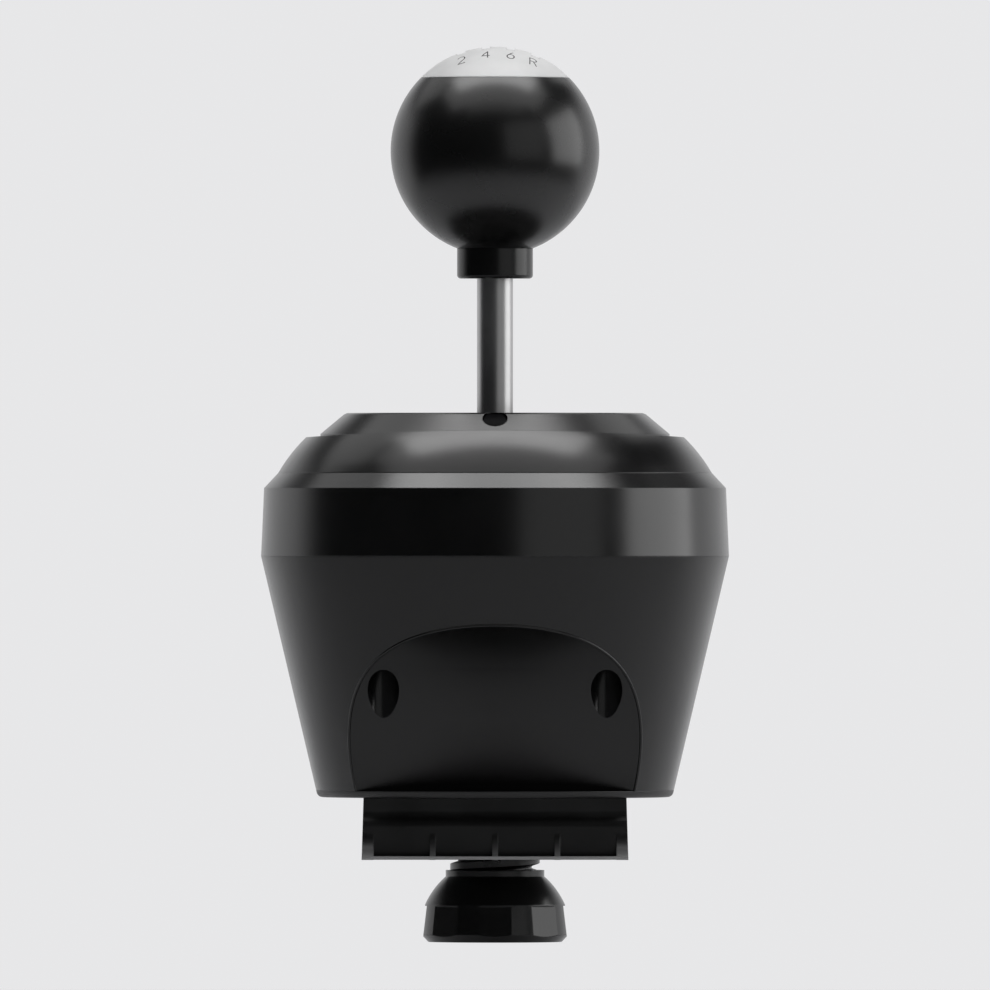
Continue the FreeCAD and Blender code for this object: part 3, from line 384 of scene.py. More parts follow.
def circuit_board(name):
    """Green lacquer over tracks, with a woven glass surface."""
    tree, shader = new_material(name)
    where = place_of(tree)
    look = {"Vector": where, "Scale": 1 / (9 * mm), "Mortar Size": 0.03, "Mortar": (0.030, 0.160, 0.060, 1),
            "Color1": (0.008, 0.075, 0.030, 1), "Color2": (0.006, 0.060, 0.024, 1)}
    tracks = add_node(tree, "TexBrick", look)
    tree.links.new(tracks.outputs["Color"], shader.inputs["Base Color"])
    weave = noise(tree, where, 0.6, detail=1)
    roughened(tree, shader, weave, 0.25, 0.4)
    bumped(tree, shader, [(tracks.outputs["Fac"], 0.4, 0.03), (weave, 0.2, 0.01)])


def smoked_lens(name, centre_y):
    """Dark satin lens with faint turning marks round its own axis."""
    tree, shader = new_material(name)
    where = place_of(tree)
    swirl = noise(tree, turned_place(tree, centre_y * mm, along=40.0), 4, detail=1)
    haze = noise(tree, where, 3)
    tinted(tree, shader, haze, (0.0025, 0.0025, 0.0030), (0.0040, 0.0040, 0.0045))
    roughened(tree, shader, swirl, 0.30, 0.38)
    bumped(tree, shader, [(swirl, 0.15, 0.004)])
    shader.inputs["Specular IOR Level"].default_value = 0.02


def paint_front_highlight(name, behind_y, front_y, highlight_grey, side_on=-0.05, facing=-0.15):
    """Paints a highlight into a finish: a paler grey towards front_y, on faces turned to the front, standing
    in for the light caught there.
    """
    tree = finishes[name].node_tree
    shader = next(node for node in tree.nodes if node.type == "BSDF_PRINCIPLED")
    plain = shader.inputs["Base Color"].links[0].from_socket
    parts = add_node(tree, "SeparateXYZ", {0: place_of(tree)})
    reach = faded(tree, parts.outputs["Y"], behind_y * mm, front_y * mm, "LINEAR")
    faces = add_node(tree, "NewGeometry").outputs["True Normal"]
    turned = add_node(tree, "SeparateXYZ", {0: faces})
    front = faded(tree, turned.outputs["Y"], side_on, facing, "LINEAR")
    # Painted highlight: a paler grey is mixed into the base colour on front-facing faces near the front
    blend = {0: product(tree, reach, front), 6: plain, 7: (*grey(highlight_grey), 1)}
    tree.links.new(add_node(tree, "Mix", blend, data_type="RGBA").outputs[2], shader.inputs["Base Color"])


def make_finishes():
    plastic("knob_black", 0.0030, 0.0036, (0.26, 0.28), grain=0.5, depth=0.001, specular=0.64, edge=0.2)
    plastic("collar_black", 0.0035, 0.0050, (0.24, 0.28), depth=0.003)
    plastic("dome_black", 0.005, 0.007, (0.36, 0.42), grain=0.35, depth=0.005, edge=0.3)
    plastic("bezel_black", 0.0030, 0.0038, (0.22, 0.25), specular=0.64)
    plastic("cover_black", 0.0030, 0.0038, (0.22, 0.25), specular=0.64)
    plastic("ring_black", 0.0030, 0.0038, (0.22, 0.25), specular=0.68, edge=0.45)
    plastic("housing_black", 0.0032, 0.0040, (0.23, 0.26), specular=0.42, edge=0.4)
    plastic("base_black", 0.005, 0.008, (0.36, 0.44), grain=0.45, depth=0.008, specular=0.45, edge=0.4)
    plastic("bracket_black", 0.004, 0.006, (0.28, 0.34), grain=0.5, depth=0.005, edge=0.45)
    # Painted highlight: the bracket's front-facing rib and foot faces get a paler grey base colour in place
    # of the light they catch
    paint_front_highlight("bracket_black", behind_y=-38.6, front_y=-44.0, highlight_grey=0.30)
    plastic("clamp_plastic", 0.004, 0.006, (0.26, 0.32), depth=0.004, edge=0.2)
    plastic("wheel_black", 0.0035, 0.0050, (0.22, 0.26), depth=0.003, edge=0.45)
    satin_paint("cap_silver", grey(0.56), grey(0.60), (0.46, 0.52), metallic=0.1, edge=0.12)
    metal("insert_brass", (0.62, 0.42, 0.16), (0.74, 0.52, 0.22), (0.25, 0.38), turned=True)
    metal("lever_steel", grey(0.44), grey(0.48), (0.33, 0.36), turned=True, mark=0.2, depth=0.0008)
    metal("mechanism_steel", grey(0.42), grey(0.50), (0.28, 0.4), stretch=(1, 30, 1))
    metal("bushing_bronze", (0.46, 0.27, 0.12), (0.58, 0.36, 0.17), (0.3, 0.42))
    metal("spring_steel", grey(0.34), grey(0.44), (0.22, 0.34), stretch=(30, 1, 1))
    metal("magnet_nickel", (0.58, 0.55, 0.50), (0.66, 0.63, 0.58), (0.12, 0.2))
    metal("gate_black", grey(0.030), grey(0.045), (0.34, 0.46), stretch=(1, 30, 1))
    metal("screw_black", grey(0.03), grey(0.05), (0.3, 0.42), mark=0.3)
    metal("screw_steel", grey(0.42), grey(0.52), (0.22, 0.34), mark=0.3)
    metal("socket_steel", grey(0.50), grey(0.60), (0.2, 0.32), stretch=(30, 1, 1))
    cast_metal("cast_alloy", grey(0.40), grey(0.50), (0.4, 0.55))
    circuit_board("board_green")
    rubber("rubber_black")
    smoked_lens("lens_smoke", centre_y=-51.9)


# Mesh helpers, with sizes in millimetres

def arc(centre, radii, start, end, steps):
    """Points along an arc or a stretch of an ellipse, between two angles in degrees."""
    angles = [math.radians(start + (end - start) * i / steps) for i in range(steps + 1)]
    return [(centre[0] + radii[0] * math.cos(a), centre[1] + radii[1] * math.sin(a)) for a in angles]


def with_rounds(corners, steps=4):
    """Profile corners (r, z, round) to points, with an arc of that radius at each corner."""
    points = []
    for i, (r, z, size) in enumerate(corners):
        here = Vector((r, z))
        if size <= 0:
            points.append((r, z))
            continue
        before = (Vector(corners[i - 1][:2]) - here).normalized()
        after = (Vector(corners[(i + 1) % len(corners)][:2]) - here).normalized()
        half = before.angle(after) / 2
        reach = size / math.tan(half)
        middle = here + (before + after).normalized() * (size / math.sin(half))
        first = here + before * reach - middle
        last = here + after * reach - middle
        turn = first.angle_signed(last)
        for k in range(steps + 1):
            arm = first.copy()
            arm.rotate(Matrix.Rotation(-turn * k / steps, 2))
            points.append(tuple(middle + arm))
    return points


def lathe(bm, points, axis, segments):
    """Turns a closed (r, z) outline about an upright axis. A side that lies on the axis makes no faces."""
    angles = [2 * math.pi * i / segments for i in range(segments)]
    rings = [[bm.verts.new(((axis[0] + r * math.cos(a)) * mm, (axis[1] + r * math.sin(a)) * mm, z * mm))
              for a in angles] for r, z in points]
    for k, near in enumerate(rings):
        after = (k + 1) % len(rings)
        if points[k][0] < on_axis and points[after][0] < on_axis:
            continue
        far = rings[after]
        for i in range(segments):
            j = (i + 1) % segments
            bm.faces.new((near[i], near[j], far[j], far[i]))
    bmesh.ops.remove_doubles(bm, verts=[v for ring in rings for v in ring], dist=merge_distance)


def skin(bm, rows):
    """Joins closed rows of vertices, one after the other, into a bar with closed ends."""
    for near, far in zip(rows, rows[1:]):
        for i in range(len(near)):
            j = (i + 1) % len(near)
            bm.faces.new((near[i], near[j], far[j], far[i]))
    bm.faces.new(rows[0][::-1])
    bm.faces.new(rows[-1])


def prism(bm, corners, z0, z1):
    """An upright prism from its corners in plan."""
    skin(bm, [[bm.verts.new((x * mm, y * mm, z * mm)) for x, y in corners] for z in (z0, z1)])


def to_object(name, bm, sharp=sharp_angle):
    """Finishes a mesh: faces outwards, smooth, and sharp at edges over the angle in degrees."""
    bmesh.ops.recalc_face_normals(bm, faces=bm.faces)
    data = bpy.data.meshes.new(name)
    bm.to_mesh(data)
    bm.free()
    for polygon in data.polygons:
        polygon.use_smooth = True
    data.set_sharp_from_angle(angle=math.radians(sharp))
    obj = bpy.data.objects.new(name, data)
    bpy.context.scene.collection.objects.link(obj)
    return obj


def settle(obj):
    """Replaces the object's mesh by what its modifiers make of it."""
    graph = bpy.context.evaluated_depsgraph_get()
    made = bpy.data.meshes.new_from_object(obj.evaluated_get(graph))
    obj.modifiers.clear()
    obj.data = made


def carve(obj, cutters):
    """Cuts each cutter out of the object and deletes the cutter."""
    for cutter in cutters:
        cut = obj.modifiers.new("cut", "BOOLEAN")
        cut.operation = "DIFFERENCE"
        cut.solver = "EXACT"
        cut.object = cutter
        settle(obj)
        bpy.data.objects.remove(cutter)


def break_edges(obj, width, angle):
    bevel = obj.modifiers.new("edges", "BEVEL")
    bevel.width = width * mm
    bevel.segments = 2
    bevel.limit_method = "ANGLE"
    bevel.angle_limit = math.radians(angle)
    bevel.use_clamp_overlap = False
    bevel.harden_normals = True


def dress(obj, body, slot, stands_for=()):
    obj.data.materials.clear()
    obj.data.materials.append(finishes[slot])
    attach(obj, body)
    if stands_for:
        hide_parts(*stands_for)


# Knob cap with the shift pattern's grooves

def over_ball(x, y):
    """From the knob's centre to the point of its sphere over a place in plan."""
    return Vector((x, y, math.sqrt(knob_r ** 2 - x * x - y * y)))


def ball_vert(bm, direction, r):
    """A vertex at radius r from the knob's centre."""
    p = direction.normalized() * r
    return bm.verts.new((p.x * mm, p.y * mm, (knob_z + p.z) * mm))


def ball_row(bm, left, right, low_r, high_r):
    """Four vertices across a bar that follows the ball, between two directions and two radii."""
    corners = ((left, low_r), (right, low_r), (right, high_r), (left, high_r))
    return [ball_vert(bm, direction, r) for direction, r in corners]


def groove_path(start, end, steps, end_steps=6):
    """Points in plan from start to end, closer together where the groove's ends are round."""
    start, end = Vector(start), Vector(end)
    length = (end - start).length
    half = groove_width / 2
    first = [half * (1 - math.cos(math.pi / 2 * i / end_steps)) for i in range(end_steps)]
    middle = [half + (length - groove_width) * i / steps for i in range(steps + 1)]
    last = [length - t for t in reversed(first)]
    return [tuple(start + (end - start) * (t / length)) for t in first + middle + last]


def groove_cutter(path):
    """A curved bar along points in plan, let into the ball, with round ends."""
    bm = bmesh.new()
    rows = []
    half = groove_width / 2
    for i, (x, y) in enumerate(path):
        here = Vector((x, y))
        ahead = (Vector(path[min(i + 1, len(path) - 1)]) - Vector(path[max(i - 1, 0)])).normalized()
        to_end = min((here - Vector(path[0])).length, (here - Vector(path[-1])).length)
        inset = max(half - to_end, 0.0)
        width = max(math.sqrt(max(half * half - inset * inset, 0.0)), groove_min_half)
        side = Vector((ahead.y, -ahead.x)) * width
        left, right = over_ball(x - side.x, y - side.y), over_ball(x + side.x, y + side.y)
        rows.append(ball_row(bm, left, right, knob_r - groove_depth, knob_r + cut_past))
    skin(bm, rows)
    return to_object("groove_cutter", bm)


def make_cap():
    seam_rise = cap_seam_z - knob_z
    seam_angle = math.degrees(math.asin(seam_rise / knob_r))
    seam_r = math.sqrt(knob_r ** 2 - seam_rise ** 2) - cap_gap
    profile = arc((0, knob_z), (knob_r, knob_r), 90, seam_angle + cap_lip_angle, cap_steps)
    profile += [(seam_r, cap_seam_z), (cap_spigot_r, cap_seam_z), (cap_spigot_r, cap_foot_z), (0, cap_foot_z)]
    bm = bmesh.new()
    lathe(bm, profile, (0, 0), cap_segments)
    cap = to_object("knob_cap_engraved", bm)
    columns = [groove_first_x + groove_pitch * i for i in range(groove_count)]
    paths = [groove_path((x, -groove_reach), (x, groove_reach), groove_steps) for x in columns]
    half = groove_width / 2
    paths.append(groove_path((columns[0] - half, 0), (columns[-1] + half, 0), cross_groove_steps))
    carve(cap, [groove_cutter(path) for path in paths])
    cap.data.set_sharp_from_angle(angle=math.radians(sharp_angle))
    break_edges(cap, cap_edge, angle=40)
    dress(cap, "lever", "cap_silver", ["knob_cap"])


# Numerals on the cap. Each sign is drawn as lines in a cell that is 0.6 wide and 1 high.

def curve(x, y, rx, ry, start, end, steps=10):
    return arc((x, y), (rx, ry), start, end, steps)


glyphs = {
    "1": [[(0.12, 0.78), (0.34, 1.0), (0.34, 0.0)]],
    "2": [curve(0.3, 0.72, 0.28, 0.28, 165, -30) + [(0.02, 0.0), (0.6, 0.0)]],
    "3": [curve(0.28, 0.745, 0.26, 0.255, 150, -90) + curve(0.28, 0.27, 0.3, 0.27, 90, -150)],
    "4": [[(0.44, 0.0), (0.44, 1.0), (0.0, 0.3), (0.6, 0.3)]],
    "5": [[(0.54, 1.0), (0.12, 1.0), (0.07, 0.56)] + curve(0.28, 0.32, 0.3, 0.32, 125, -140)],
    "6": [[(0.48, 1.0)] + curve(0.3, 0.31, 0.28, 0.31, 160, 520, 20)],
    "7": [[(0.0, 1.0), (0.58, 1.0), (0.2, 0.0)]],
    "R": [[(0.02, 0.0), (0.02, 1.0)] + curve(0.32, 0.76, 0.24, 0.24, 90, -90) + [(0.02, 0.52)],
          [(0.3, 0.52), (0.58, 0.0)]],
}


def divided(places, step):
    """The same line with points no further apart than the step."""
    made = [places[0]]
    for a, b in zip(places, places[1:]):
        count = max(1, math.ceil((Vector(b) - Vector(a)).length / step))
        made += [tuple(Vector(a).lerp(Vector(b), k / count)) for k in range(1, count + 1)]
    return made


def stroke(bm, places, centre, right, up):
    """A raised line along places in the plane that touches the ball at the centre."""
    places = divided(places, numeral_step)
    rows = []
    for i, place in enumerate(places):
        here = Vector(place)
        before = (here - Vector(places[i - 1])).normalized() if i else None
        after = (Vector(places[i + 1]) - here).normalized() if i < len(places) - 1 else None
        ahead = ((before or after) + (after or before)).normalized()
        widened = 1.0 / max(ahead.dot(after), 1.0 / numeral_widest) if before and after else 1.0
        side = Vector((ahead.y, -ahead.x)) * (numeral_stroke / 2 * widened)
        edges = [centre + right * flat.x + up * flat.y for flat in (here - side, here + side)]
        rows.append(ball_row(bm, *edges, knob_r - numeral_sink, knob_r + numeral_rise))
    skin(bm, rows)


def make_numerals():
    bm = bmesh.new()
    for row_y, signs in zip((-numeral_row_y, numeral_row_y), numeral_rows):
        for x, sign in zip(numeral_columns, signs):
            centre = over_ball(x, row_y)
            outward = centre.normalized()
            right = (Vector((1, 0, 0)) - outward * outward.x).normalized()
            up = outward.cross(right)
            for line in glyphs[sign]:
                places = [((u - glyph_width / 2) * numeral_height * numeral_slim, (v - 0.5) * numeral_height)
                          for u, v in line]
                stroke(bm, places, centre, right, up)
    dress(to_object("knob_numerals", bm), "lever", "collar_black")


# Clamp screw with its thread

def thread_profile():
    """One turn's outline as (r, height over the crest's middle), from the crest's foot to the next crest."""
    in_r, in_z = thread_crest_round
    rise = [(thread_r - in_r, thread_crest_half + in_z),
            (thread_root_r + thread_root_round, thread_root_start - thread_root_round),
            (thread_root_r, thread_root_start)]
    fall = [(r, thread_pitch - z) for r, z in reversed(rise)]
    return [(thread_r, -thread_crest_half), (thread_r, thread_crest_half)] + rise + fall


def add_thread(bm):
    """A helical surface longer than the thread, cut off at both ends and closed there."""
    profile = thread_profile()
    turns_below = math.ceil((thread_crest_z - thread_foot_z) / thread_pitch) + spare_turns
    turns = math.ceil((thread_top_z - thread_foot_z) / thread_pitch) + 2 * spare_turns
    steps = turns * thread_steps
    columns = []
    for i in range(steps + 1):
        a = 2 * math.pi * i / thread_steps
        lift = thread_crest_z + thread_pitch * (i / thread_steps - turns_below)
        columns.append([bm.verts.new((r * math.cos(a) * mm, (clamp_axis[1] + r * math.sin(a)) * mm,
                                      (lift + z) * mm)) for r, z in profile])
    for i in range(steps):
        near, far = columns[i], columns[i + 1]
        for k in range(len(profile) - 1):
            bm.faces.new((near[k], far[k], far[k + 1], near[k + 1]))
        if i + thread_steps < steps:
            above, above_far = columns[i + thread_steps][0], columns[i + thread_steps + 1][0]
            bm.faces.new((near[-1], far[-1], above_far, above))
    for z, outward in ((thread_foot_z, -1), (thread_top_z, 1)):
        cut = bmesh.ops.bisect_plane(bm, geom=list(bm.verts) + list(bm.edges) + list(bm.faces),
                                     plane_co=(0, 0, z * mm), plane_no=(0, 0, outward), clear_outer=True)
        edges = [e for e in cut["geom_cut"] if isinstance(e, bmesh.types.BMEdge)]
        bmesh.ops.holes_fill(bm, edges=edges, sides=0)


def make_clamp_screw():
    """The thread, the pin that the pad turns on, and the shank that sits in the hand wheel."""
    low, high = clamp_z
    bm = bmesh.new()
    add_thread(bm)
    pin_foot = thread_top_z - clamp_overlap
    pin = [(0, pin_foot, 0), (clamp_pin_r, pin_foot, 0), (clamp_pin_r, high, clamp_end_round), (0, high, 0)]
    lathe(bm, with_rounds(pin), clamp_axis, clamp_segments)
    shank_top = thread_foot_z + clamp_overlap
    shank = [(0, low, 0), (clamp_shank_r, low, clamp_end_round), (clamp_shank_r, shank_top, 0),
             (0, shank_top, 0)]
    lathe(bm, with_rounds(shank), clamp_axis, clamp_segments)
    screw = to_object("clamp_screw_threaded", bm, sharp=25)
    dress(screw, "clamp_screw", "clamp_plastic", ["clamp_screw"])


# Screws with their drives. A profile is (r, z, round) from the foot up, and its heights are the CAD node's.

def hexagon(across):
    r = across / math.sqrt(3)
    return [(r * math.cos(math.radians(60 * i)), r * math.sin(math.radians(60 * i))) for i in range(6)]


def cross(width, reach):
    h = width / 2
    return [(h, h), (h, reach), (-h, reach), (-h, h), (-reach, h), (-reach, -h), (-h, -h), (-h, -reach),
            (h, -reach), (h, -h), (reach, -h), (reach, h)]


def hung_screw(node, head_r, head_height, head_round, shank_r, tip_round):
    """Profile of a screw whose head is at its lower end."""
    foot, tip = spans(node)[2]
    seat = foot + head_height
    return [(0, foot, 0), (head_r, foot, head_round), (head_r, seat, 0), (shank_r, seat, 0),
            (shank_r, tip, tip_round), (0, tip, 0)]


def hung_drive(node, depth):
    foot = spans(node)[2][0]
    return foot - cut_past, foot + depth


def top_drive(node, depth):
    top = spans(node)[2][1]
    return top - depth, top + cut_past


def four(x, y):
    return [(sx * x, sy * y) for sx in (-1, 1) for sy in (-1, 1)]


def make_screws(name, node, body, slot, profile, drive, drive_z, places):
    """All screws of one kind in one piece, each a turned copy with its drive cut into the head."""
    bm = bmesh.new()
    lathe(bm, with_rounds(profile), (0, 0), screw_segments)
    master = to_object("screw_master", bm)
    bm = bmesh.new()
    prism(bm, drive, *drive_z)
    carve(master, [to_object("drive_cutter", bm)])
    bm = bmesh.new()
    for i, (x, y) in enumerate(places):
        copy = master.data.copy()
        turn = Matrix.Rotation(math.radians(screw_turn * i), 4, "Z")
        copy.transform(Matrix.Translation((x * mm, y * mm, 0)) @ turn)
        bm.from_mesh(copy)
        bpy.data.meshes.remove(copy)
    bpy.data.objects.remove(master)
    dress(to_object(name, bm), body, slot, [node])


def make_casing_screws():
    profile = hung_screw("casing_screws", head_r=4.2, head_height=3.4, head_round=0.5,
                         shank_r=2.0, tip_round=0.4)
    drive_z = hung_drive("casing_screws", depth=1.8)
    make_screws("casing_screws_hex", "casing_screws", "root", "screw_black", profile,
                hexagon(across=3.0), drive_z, four(casing_screw_x, casing_screw_y))


def make_bracket_screws():
    profile = hung_screw("bracket_screws", head_r=4.25, head_height=4.0, head_round=0.5,
                         shank_r=2.5, tip_round=0.5)
    drive_z = hung_drive("bracket_screws", depth=2.4)
    places = [(x, y) for x in (-bracket_screw_x, bracket_screw_x) for y in bracket_screw_rows]
    make_screws("bracket_screws_hex", "bracket_screws", "root", "screw_black", profile,
                hexagon(across=4.0), drive_z, places)


def make_gate_screws():
    """Countersunk screws, flush with the gate plate."""
    shank_r, head_r, head_height = 1.5, 2.8, 1.5
    tip, top = spans("gate_screws")[2]
    profile = [(0, tip, 0), (shank_r, tip, 0.3), (shank_r, top - head_height, 0), (head_r, top, 0.12),
               (0, top, 0)]
    drive_z = top_drive("gate_screws", depth=1.1)
    place = gate_circle_r / math.sqrt(2)
    make_screws("gate_screws_hex", "gate_screws", "root", "screw_black", profile,
                hexagon(across=2.0), drive_z, four(place, place))


def make_board_screws():
    """Small pan heads on the main board."""
    shank_r, head_r, head_height = 1.25, 2.3, 1.4
    tip, top = spans("board_screws")[2]
    seat = top - head_height
    profile = [(0, tip, 0), (shank_r, tip, 0.3), (shank_r, seat, 0), (head_r, seat, 0.2),
               (head_r, top, 0.7), (0, top, 0)]
    drive_z = top_drive("board_screws", depth=0.9)
    places = [(x, y) for x in (-board_screw_x, board_screw_x) for y in board_screw_rows]
    make_screws("board_screws_cross", "board_screws", "root", "screw_steel", profile,
                cross(width=0.55, reach=1.3), drive_z, places)


def make_wheel_screw():
    profile = hung_screw("wheel_screw", head_r=5.5, head_height=2.6, head_round=1.4,
                         shank_r=3.0, tip_round=0.5)
    drive_z = hung_drive("wheel_screw", depth=1.7)
    make_screws("wheel_screw_cross", "wheel_screw", "clamp_screw", "screw_steel", profile,
                cross(width=1.1, reach=2.9), drive_z, [clamp_axis])


# Rubber pads

def make_pad_rubber():
    """Round rubber on the swivel pad, with ring grooves in its upper face."""
    x, _, (foot, top) = spans("pad_rubber")
    corners = [(0, foot, 0), (x[1], foot, 0), (x[1], top, pad_rim_round)]
    for k in range(pad_grooves, 0, -1):
        middle = pad_groove_pitch * k
        low = top - pad_groove_depth
        corners += [(middle + pad_groove_half, top, 0), (middle + pad_groove_foot_half, low, 0),
                    (middle - pad_groove_foot_half, low, 0), (middle - pad_groove_half, top, 0)]
    corners.append((0, top, 0))
    bm = bmesh.new()
    lathe(bm, with_rounds(corners), clamp_axis, pad_segments)
    dress(to_object("pad_rubber_grooved", bm, sharp=40), "pad", "rubber_black", ["pad_rubber"])


def make_throat_pad():
    """Pad on the throat's ceiling: its under side has grooves across the desk's direction."""
    (x0, x1), (y0, y1), (z0, z1) = spans("throat_pad")
    left, right, near, far = x0 + throat_corner, x1 - throat_corner, y0 + throat_corner, y1 - throat_corner
    outline = []
    for i, centre in enumerate([(right, far), (left, far), (left, near), (right, near)]):
        outline += arc(centre, (throat_corner, throat_corner), 90 * i, 90 * (i + 1), 8)
    bm = bmesh.new()
    prism(bm, outline, z0, z1)
    pad = to_object("throat_pad_ribbed", bm)
    left, right = x0 + throat_groove_margin, x1 - throat_groove_margin
    cutters = []
    for i in range(throat_grooves):
        middle = y0 + throat_groove_pitch * (i + 1)
        low, high = middle - throat_groove_half, middle + throat_groove_half
        bm = bmesh.new()
        prism(bm, [(left, low), (right, low), (right, high), (left, high)],
              z0 - cut_past, z0 + throat_groove_depth)
        cutters.append(to_object("rib_cutter", bm))
    carve(pad, cutters)
    break_edges(pad, throat_edge, angle=35)
    dress(pad, "root", "rubber_black", ["throat_pad"])


# Contacts in the data socket

def make_socket_contacts():
    _, y, z = spans("data_socket")
    far = y[1] - contact_inset
    near = far - contact_length
    bm = bmesh.new()
    for side in (-1, 1):
        face = (z[0] + z[1]) / 2 + side * contact_row_rise
        low, high = sorted((face, face + side * contact_thickness))
        for i in range(contacts_in_row):
            middle = (i - (contacts_in_row - 1) / 2) * contact_pitch
            left, right = middle - contact_half, middle + contact_half
            prism(bm, [(left, near), (right, near), (right, far), (left, far)], low, high)
    dress(to_object("socket_contacts", bm), "root", "insert_brass")


# Bead along the scoop's edge

def on_scoop_edge(z, side):
    """Where the scoop's round cut meets the housing's cone, at height z."""
    y = scoop_axis_y + math.sqrt(scoop_r ** 2 - (z - scoop_axis_z) ** 2)
    x = math.sqrt(max((cone_r + cone_slope * z) ** 2 - y * y, 0.0))
    return Vector((side * x, y, z))


def scoop_top():
    """The height at which the cut leaves the cone in the middle: the upper root of a quadratic."""
    gap = -scoop_axis_y - cone_r
    square = cone_slope ** 2 + 1
    half = gap * cone_slope + scoop_axis_z
    rest = gap ** 2 + scoop_axis_z ** 2 - scoop_r ** 2
    return (half + math.sqrt(half ** 2 - square * rest)) / square


def make_scoop_bead():
    foot, top = housing_z[0], scoop_top()
    rise = [foot + (top - foot) * math.sin(math.pi / 2 * i / bead_steps) for i in range(bead_steps + 1)]
    path = [on_scoop_edge(z, -1) for z in rise] + [on_scoop_edge(z, 1) for z in reversed(rise[:-1])]
    angles = [2 * math.pi * k / bead_sides for k in range(bead_sides)]
    bm = bmesh.new()
    rings = []
    for i, here in enumerate(path):
        ahead = (path[min(i + 1, len(path) - 1)] - path[max(i - 1, 0)]).normalized()
        out = Vector((here.x, here.y, -cone_slope * here.xy.length))
        out = (out - ahead * out.dot(ahead)).normalized()
        side = ahead.cross(out)
        rings.append([bm.verts.new((here + (out * math.cos(a) + side * math.sin(a)) * bead_r) * mm)
                      for a in angles])
    skin(bm, rings)
    dress(to_object("scoop_bead", bm, sharp=60), "root", "housing_black")


# Finishes of the CAD nodes

slot_nodes = {
    "knob_black": ["knob_ball"],
    "cap_silver": ["knob_cap"],
    "collar_black": ["knob_collar"],
    "insert_brass": ["knob_insert", "rig_inserts"],
    "lever_steel": ["lever_shaft"],
    "cast_alloy": ["lever_hub", "gimbal_yoke", "mechanism_frame"],
    "mechanism_steel": ["hub_pin"],
    "magnet_nickel": ["lever_magnet", "tilt_magnet"],
    "dome_black": ["dust_dome"],
    "board_green": ["swing_sensor_board", "tilt_sensor_board", "main_board"],
    "spring_steel": ["detent_leaf", "centring_springs"],
    "bushing_bronze": ["trunnion_bushings"],
    "gate_black": ["gate_plate"],
    "screw_black": ["gate_screws", "casing_screws", "bracket_screws"],
    "screw_steel": ["board_screws", "wheel_screw"],
    "bezel_black": ["bezel_ring"],
    "lens_smoke": ["status_lens"],
    "cover_black": ["top_cover"],
    "ring_black": ["upper_ring"],
    "housing_black": ["lower_housing"],
    "base_black": ["base_plate"],
    "socket_steel": ["data_socket"],
    "bracket_black": ["clamp_bracket"],
    "rubber_black": ["throat_pad", "pad_rubber"],
    "clamp_plastic": ["clamp_screw", "swivel_pad"],
    "wheel_black": ["clamp_wheel"],
}


def finish_nodes():
    for slot, nodes in slot_nodes.items():
        for node in nodes:
            materials = frame["nodes"][node].data.materials
            materials.clear()
            materials.append(finishes[slot])


# Floor, light and camera

def make_floor():
    """A pale round floor that fades out before its edge."""
    angles = [2 * math.pi * i / floor_segments for i in range(floor_segments)]
    bm = bmesh.new()
    rings = []
    for k in range(floor_rings + 1):
        r = floor_r * k / floor_rings
        rings.append([bm.verts.new((r * math.cos(a), r * math.sin(a), floor_z)) for a in angles])
    for near, far in zip(rings, rings[1:]):
        for i in range(floor_segments):
            j = (i + 1) % floor_segments
            bm.faces.new((near[i], near[j], far[j], far[i]))
    bmesh.ops.remove_doubles(bm, verts=bm.verts, dist=merge_distance)
    floor = to_object("floor", bm)
    made = bpy.data.materials.new("floor_pale")
    made.use_nodes = True
    tree = made.node_tree
    tree.nodes.clear()
    paper = add_node(tree, "BsdfDiffuse", {"Color": (*floor_colour, 1)}).outputs[0]
    clear = add_node(tree, "BsdfTransparent").outputs[0]
    distance = add_node(tree, "VectorMath", {0: place_of(tree)}, operation="LENGTH").outputs["Value"]
    surface = mixed(tree, faded(tree, distance, *floor_fade), paper, clear)
    add_node(tree, "OutputMaterial", {"Surface": surface})
    floor.data.materials.append(made)


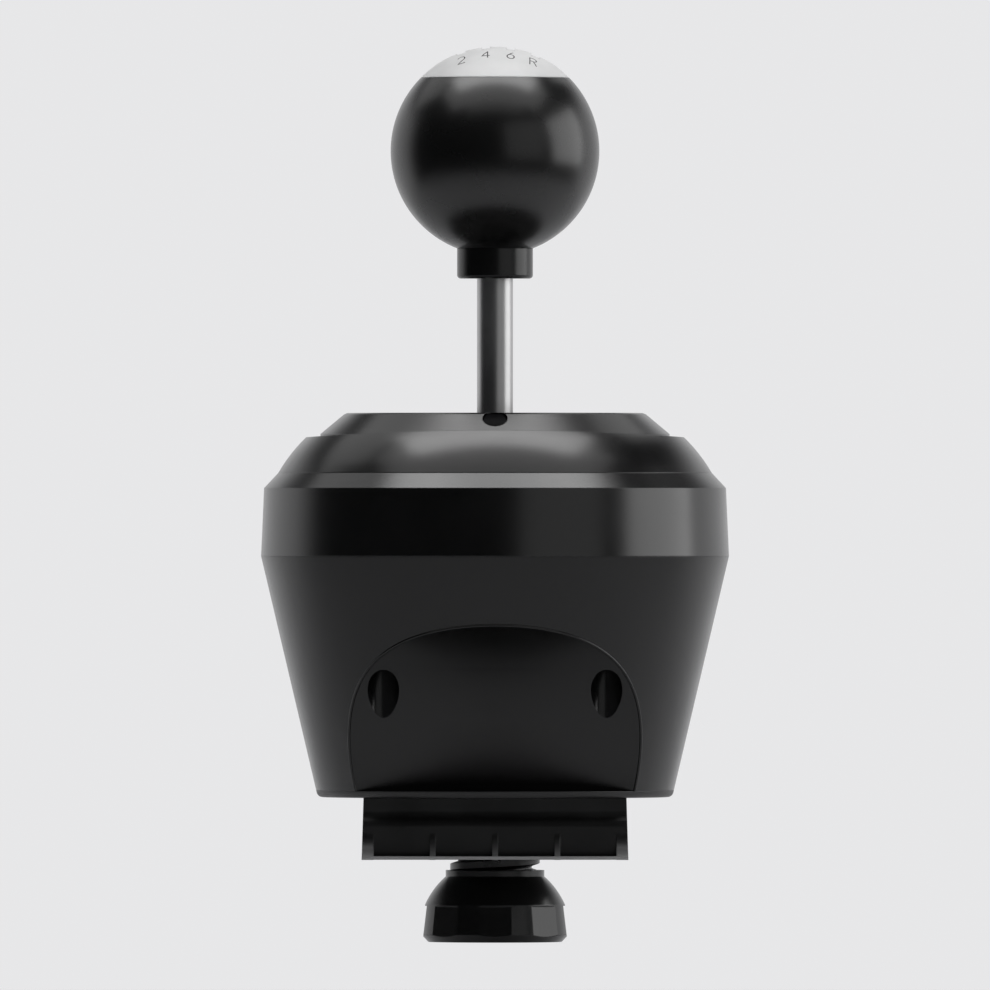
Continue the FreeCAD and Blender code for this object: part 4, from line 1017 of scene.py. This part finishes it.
def make_world():
    """Pale studio: the camera sees an even pale backdrop, and reflections see it low behind the object."""
    world = bpy.data.worlds.new("studio")
    bpy.context.scene.world = world
    world.use_nodes = True
    tree = world.node_tree
    tree.nodes.clear()
    lights = ((ambient_colour, ambient_level), (backdrop_colour, 1.0), (room_colour, room_level))
    ambient, backdrop, room = [
        add_node(tree, "Background", {"Color": (*colour, 1), "Strength": level}).outputs[0]
        for colour, level in lights]
    coords = add_node(tree, "TexCoord").outputs["Generated"]
    parts = add_node(tree, "SeparateXYZ", {0: coords})
    behind = faded(tree, parts.outputs["Y"], *backdrop_side)
    low = faded(tree, parts.outputs["Z"], *backdrop_height)
    rays = add_node(tree, "LightPath").outputs
    shiny = {0: rays["Is Glossy Ray"], 1: rays["Is Transmission Ray"]}
    reflected = add_node(tree, "Math", shiny, operation="MAXIMUM").outputs[0]
    surroundings = mixed(tree, product(tree, behind, low), room, backdrop)
    lit = mixed(tree, reflected, ambient, surroundings)
    add_node(tree, "OutputWorld", {"Surface": mixed(tree, rays["Is Camera Ray"], lit, backdrop)})


def softbox(name, place, aim_z, width, height, radiance):
    """A rectangular area lamp of the given radiance, aimed at a height on the lever's axis. In metres."""
    lamp = bpy.data.lights.new(name, "AREA")
    lamp.shape = "RECTANGLE"
    lamp.size = width
    lamp.size_y = height
    lamp.energy = radiance * math.pi * width * height
    obj = bpy.data.objects.new(name, lamp)
    bpy.context.scene.collection.objects.link(obj)
    obj.location = place
    obj.rotation_euler = (Vector((0, 0, aim_z)) - Vector(place)).to_track_quat("-Z", "Y").to_euler()
    obj.visible_camera = False


def make_lamps():
    softbox("top_core", (0.0, 0.05, 1.15), aim_z=0.12, width=1.12, height=0.46, radiance=3.8)
    softbox("top_wide", (0.0, -0.25, 1.25), aim_z=0.12, width=2.00, height=0.80, radiance=1.0)
    softbox("top_front", (0.0, -0.80, 1.20), aim_z=0.12, width=1.30, height=0.30, radiance=0.5)
    softbox("top_back", (-0.18, 0.66, 1.05), aim_z=0.12, width=2.00, height=0.60, radiance=0.8)
    softbox("right_box", (1.22, -0.02, 0.42), aim_z=0.10, width=1.05, height=0.90, radiance=2.1)
    softbox("front_fill", (0.95, -1.45, 0.55), aim_z=0.12, width=1.40, height=1.30, radiance=0.42)


def make_camera():
    data = bpy.data.cameras.new("camera")
    data.lens = camera_lens
    data.sensor_width = camera_sensor
    data.clip_start = camera_near
    data.clip_end = camera_far
    camera = bpy.data.objects.new("camera", data)
    camera.location = camera_place
    camera.rotation_euler = (math.pi / 2, 0.0, 0.0)
    bpy.context.scene.collection.objects.link(camera)
    bpy.context.scene.camera = camera


make_finishes()
make_cap()
make_numerals()
make_scoop_bead()
make_clamp_screw()
make_casing_screws()
make_bracket_screws()
make_gate_screws()
make_board_screws()
make_wheel_screw()
make_pad_rubber()
make_throat_pad()
make_socket_contacts()
finish_nodes()
make_floor()
make_world()
make_lamps()
make_camera()
bpy.context.scene.view_settings.view_transform = "Standard"
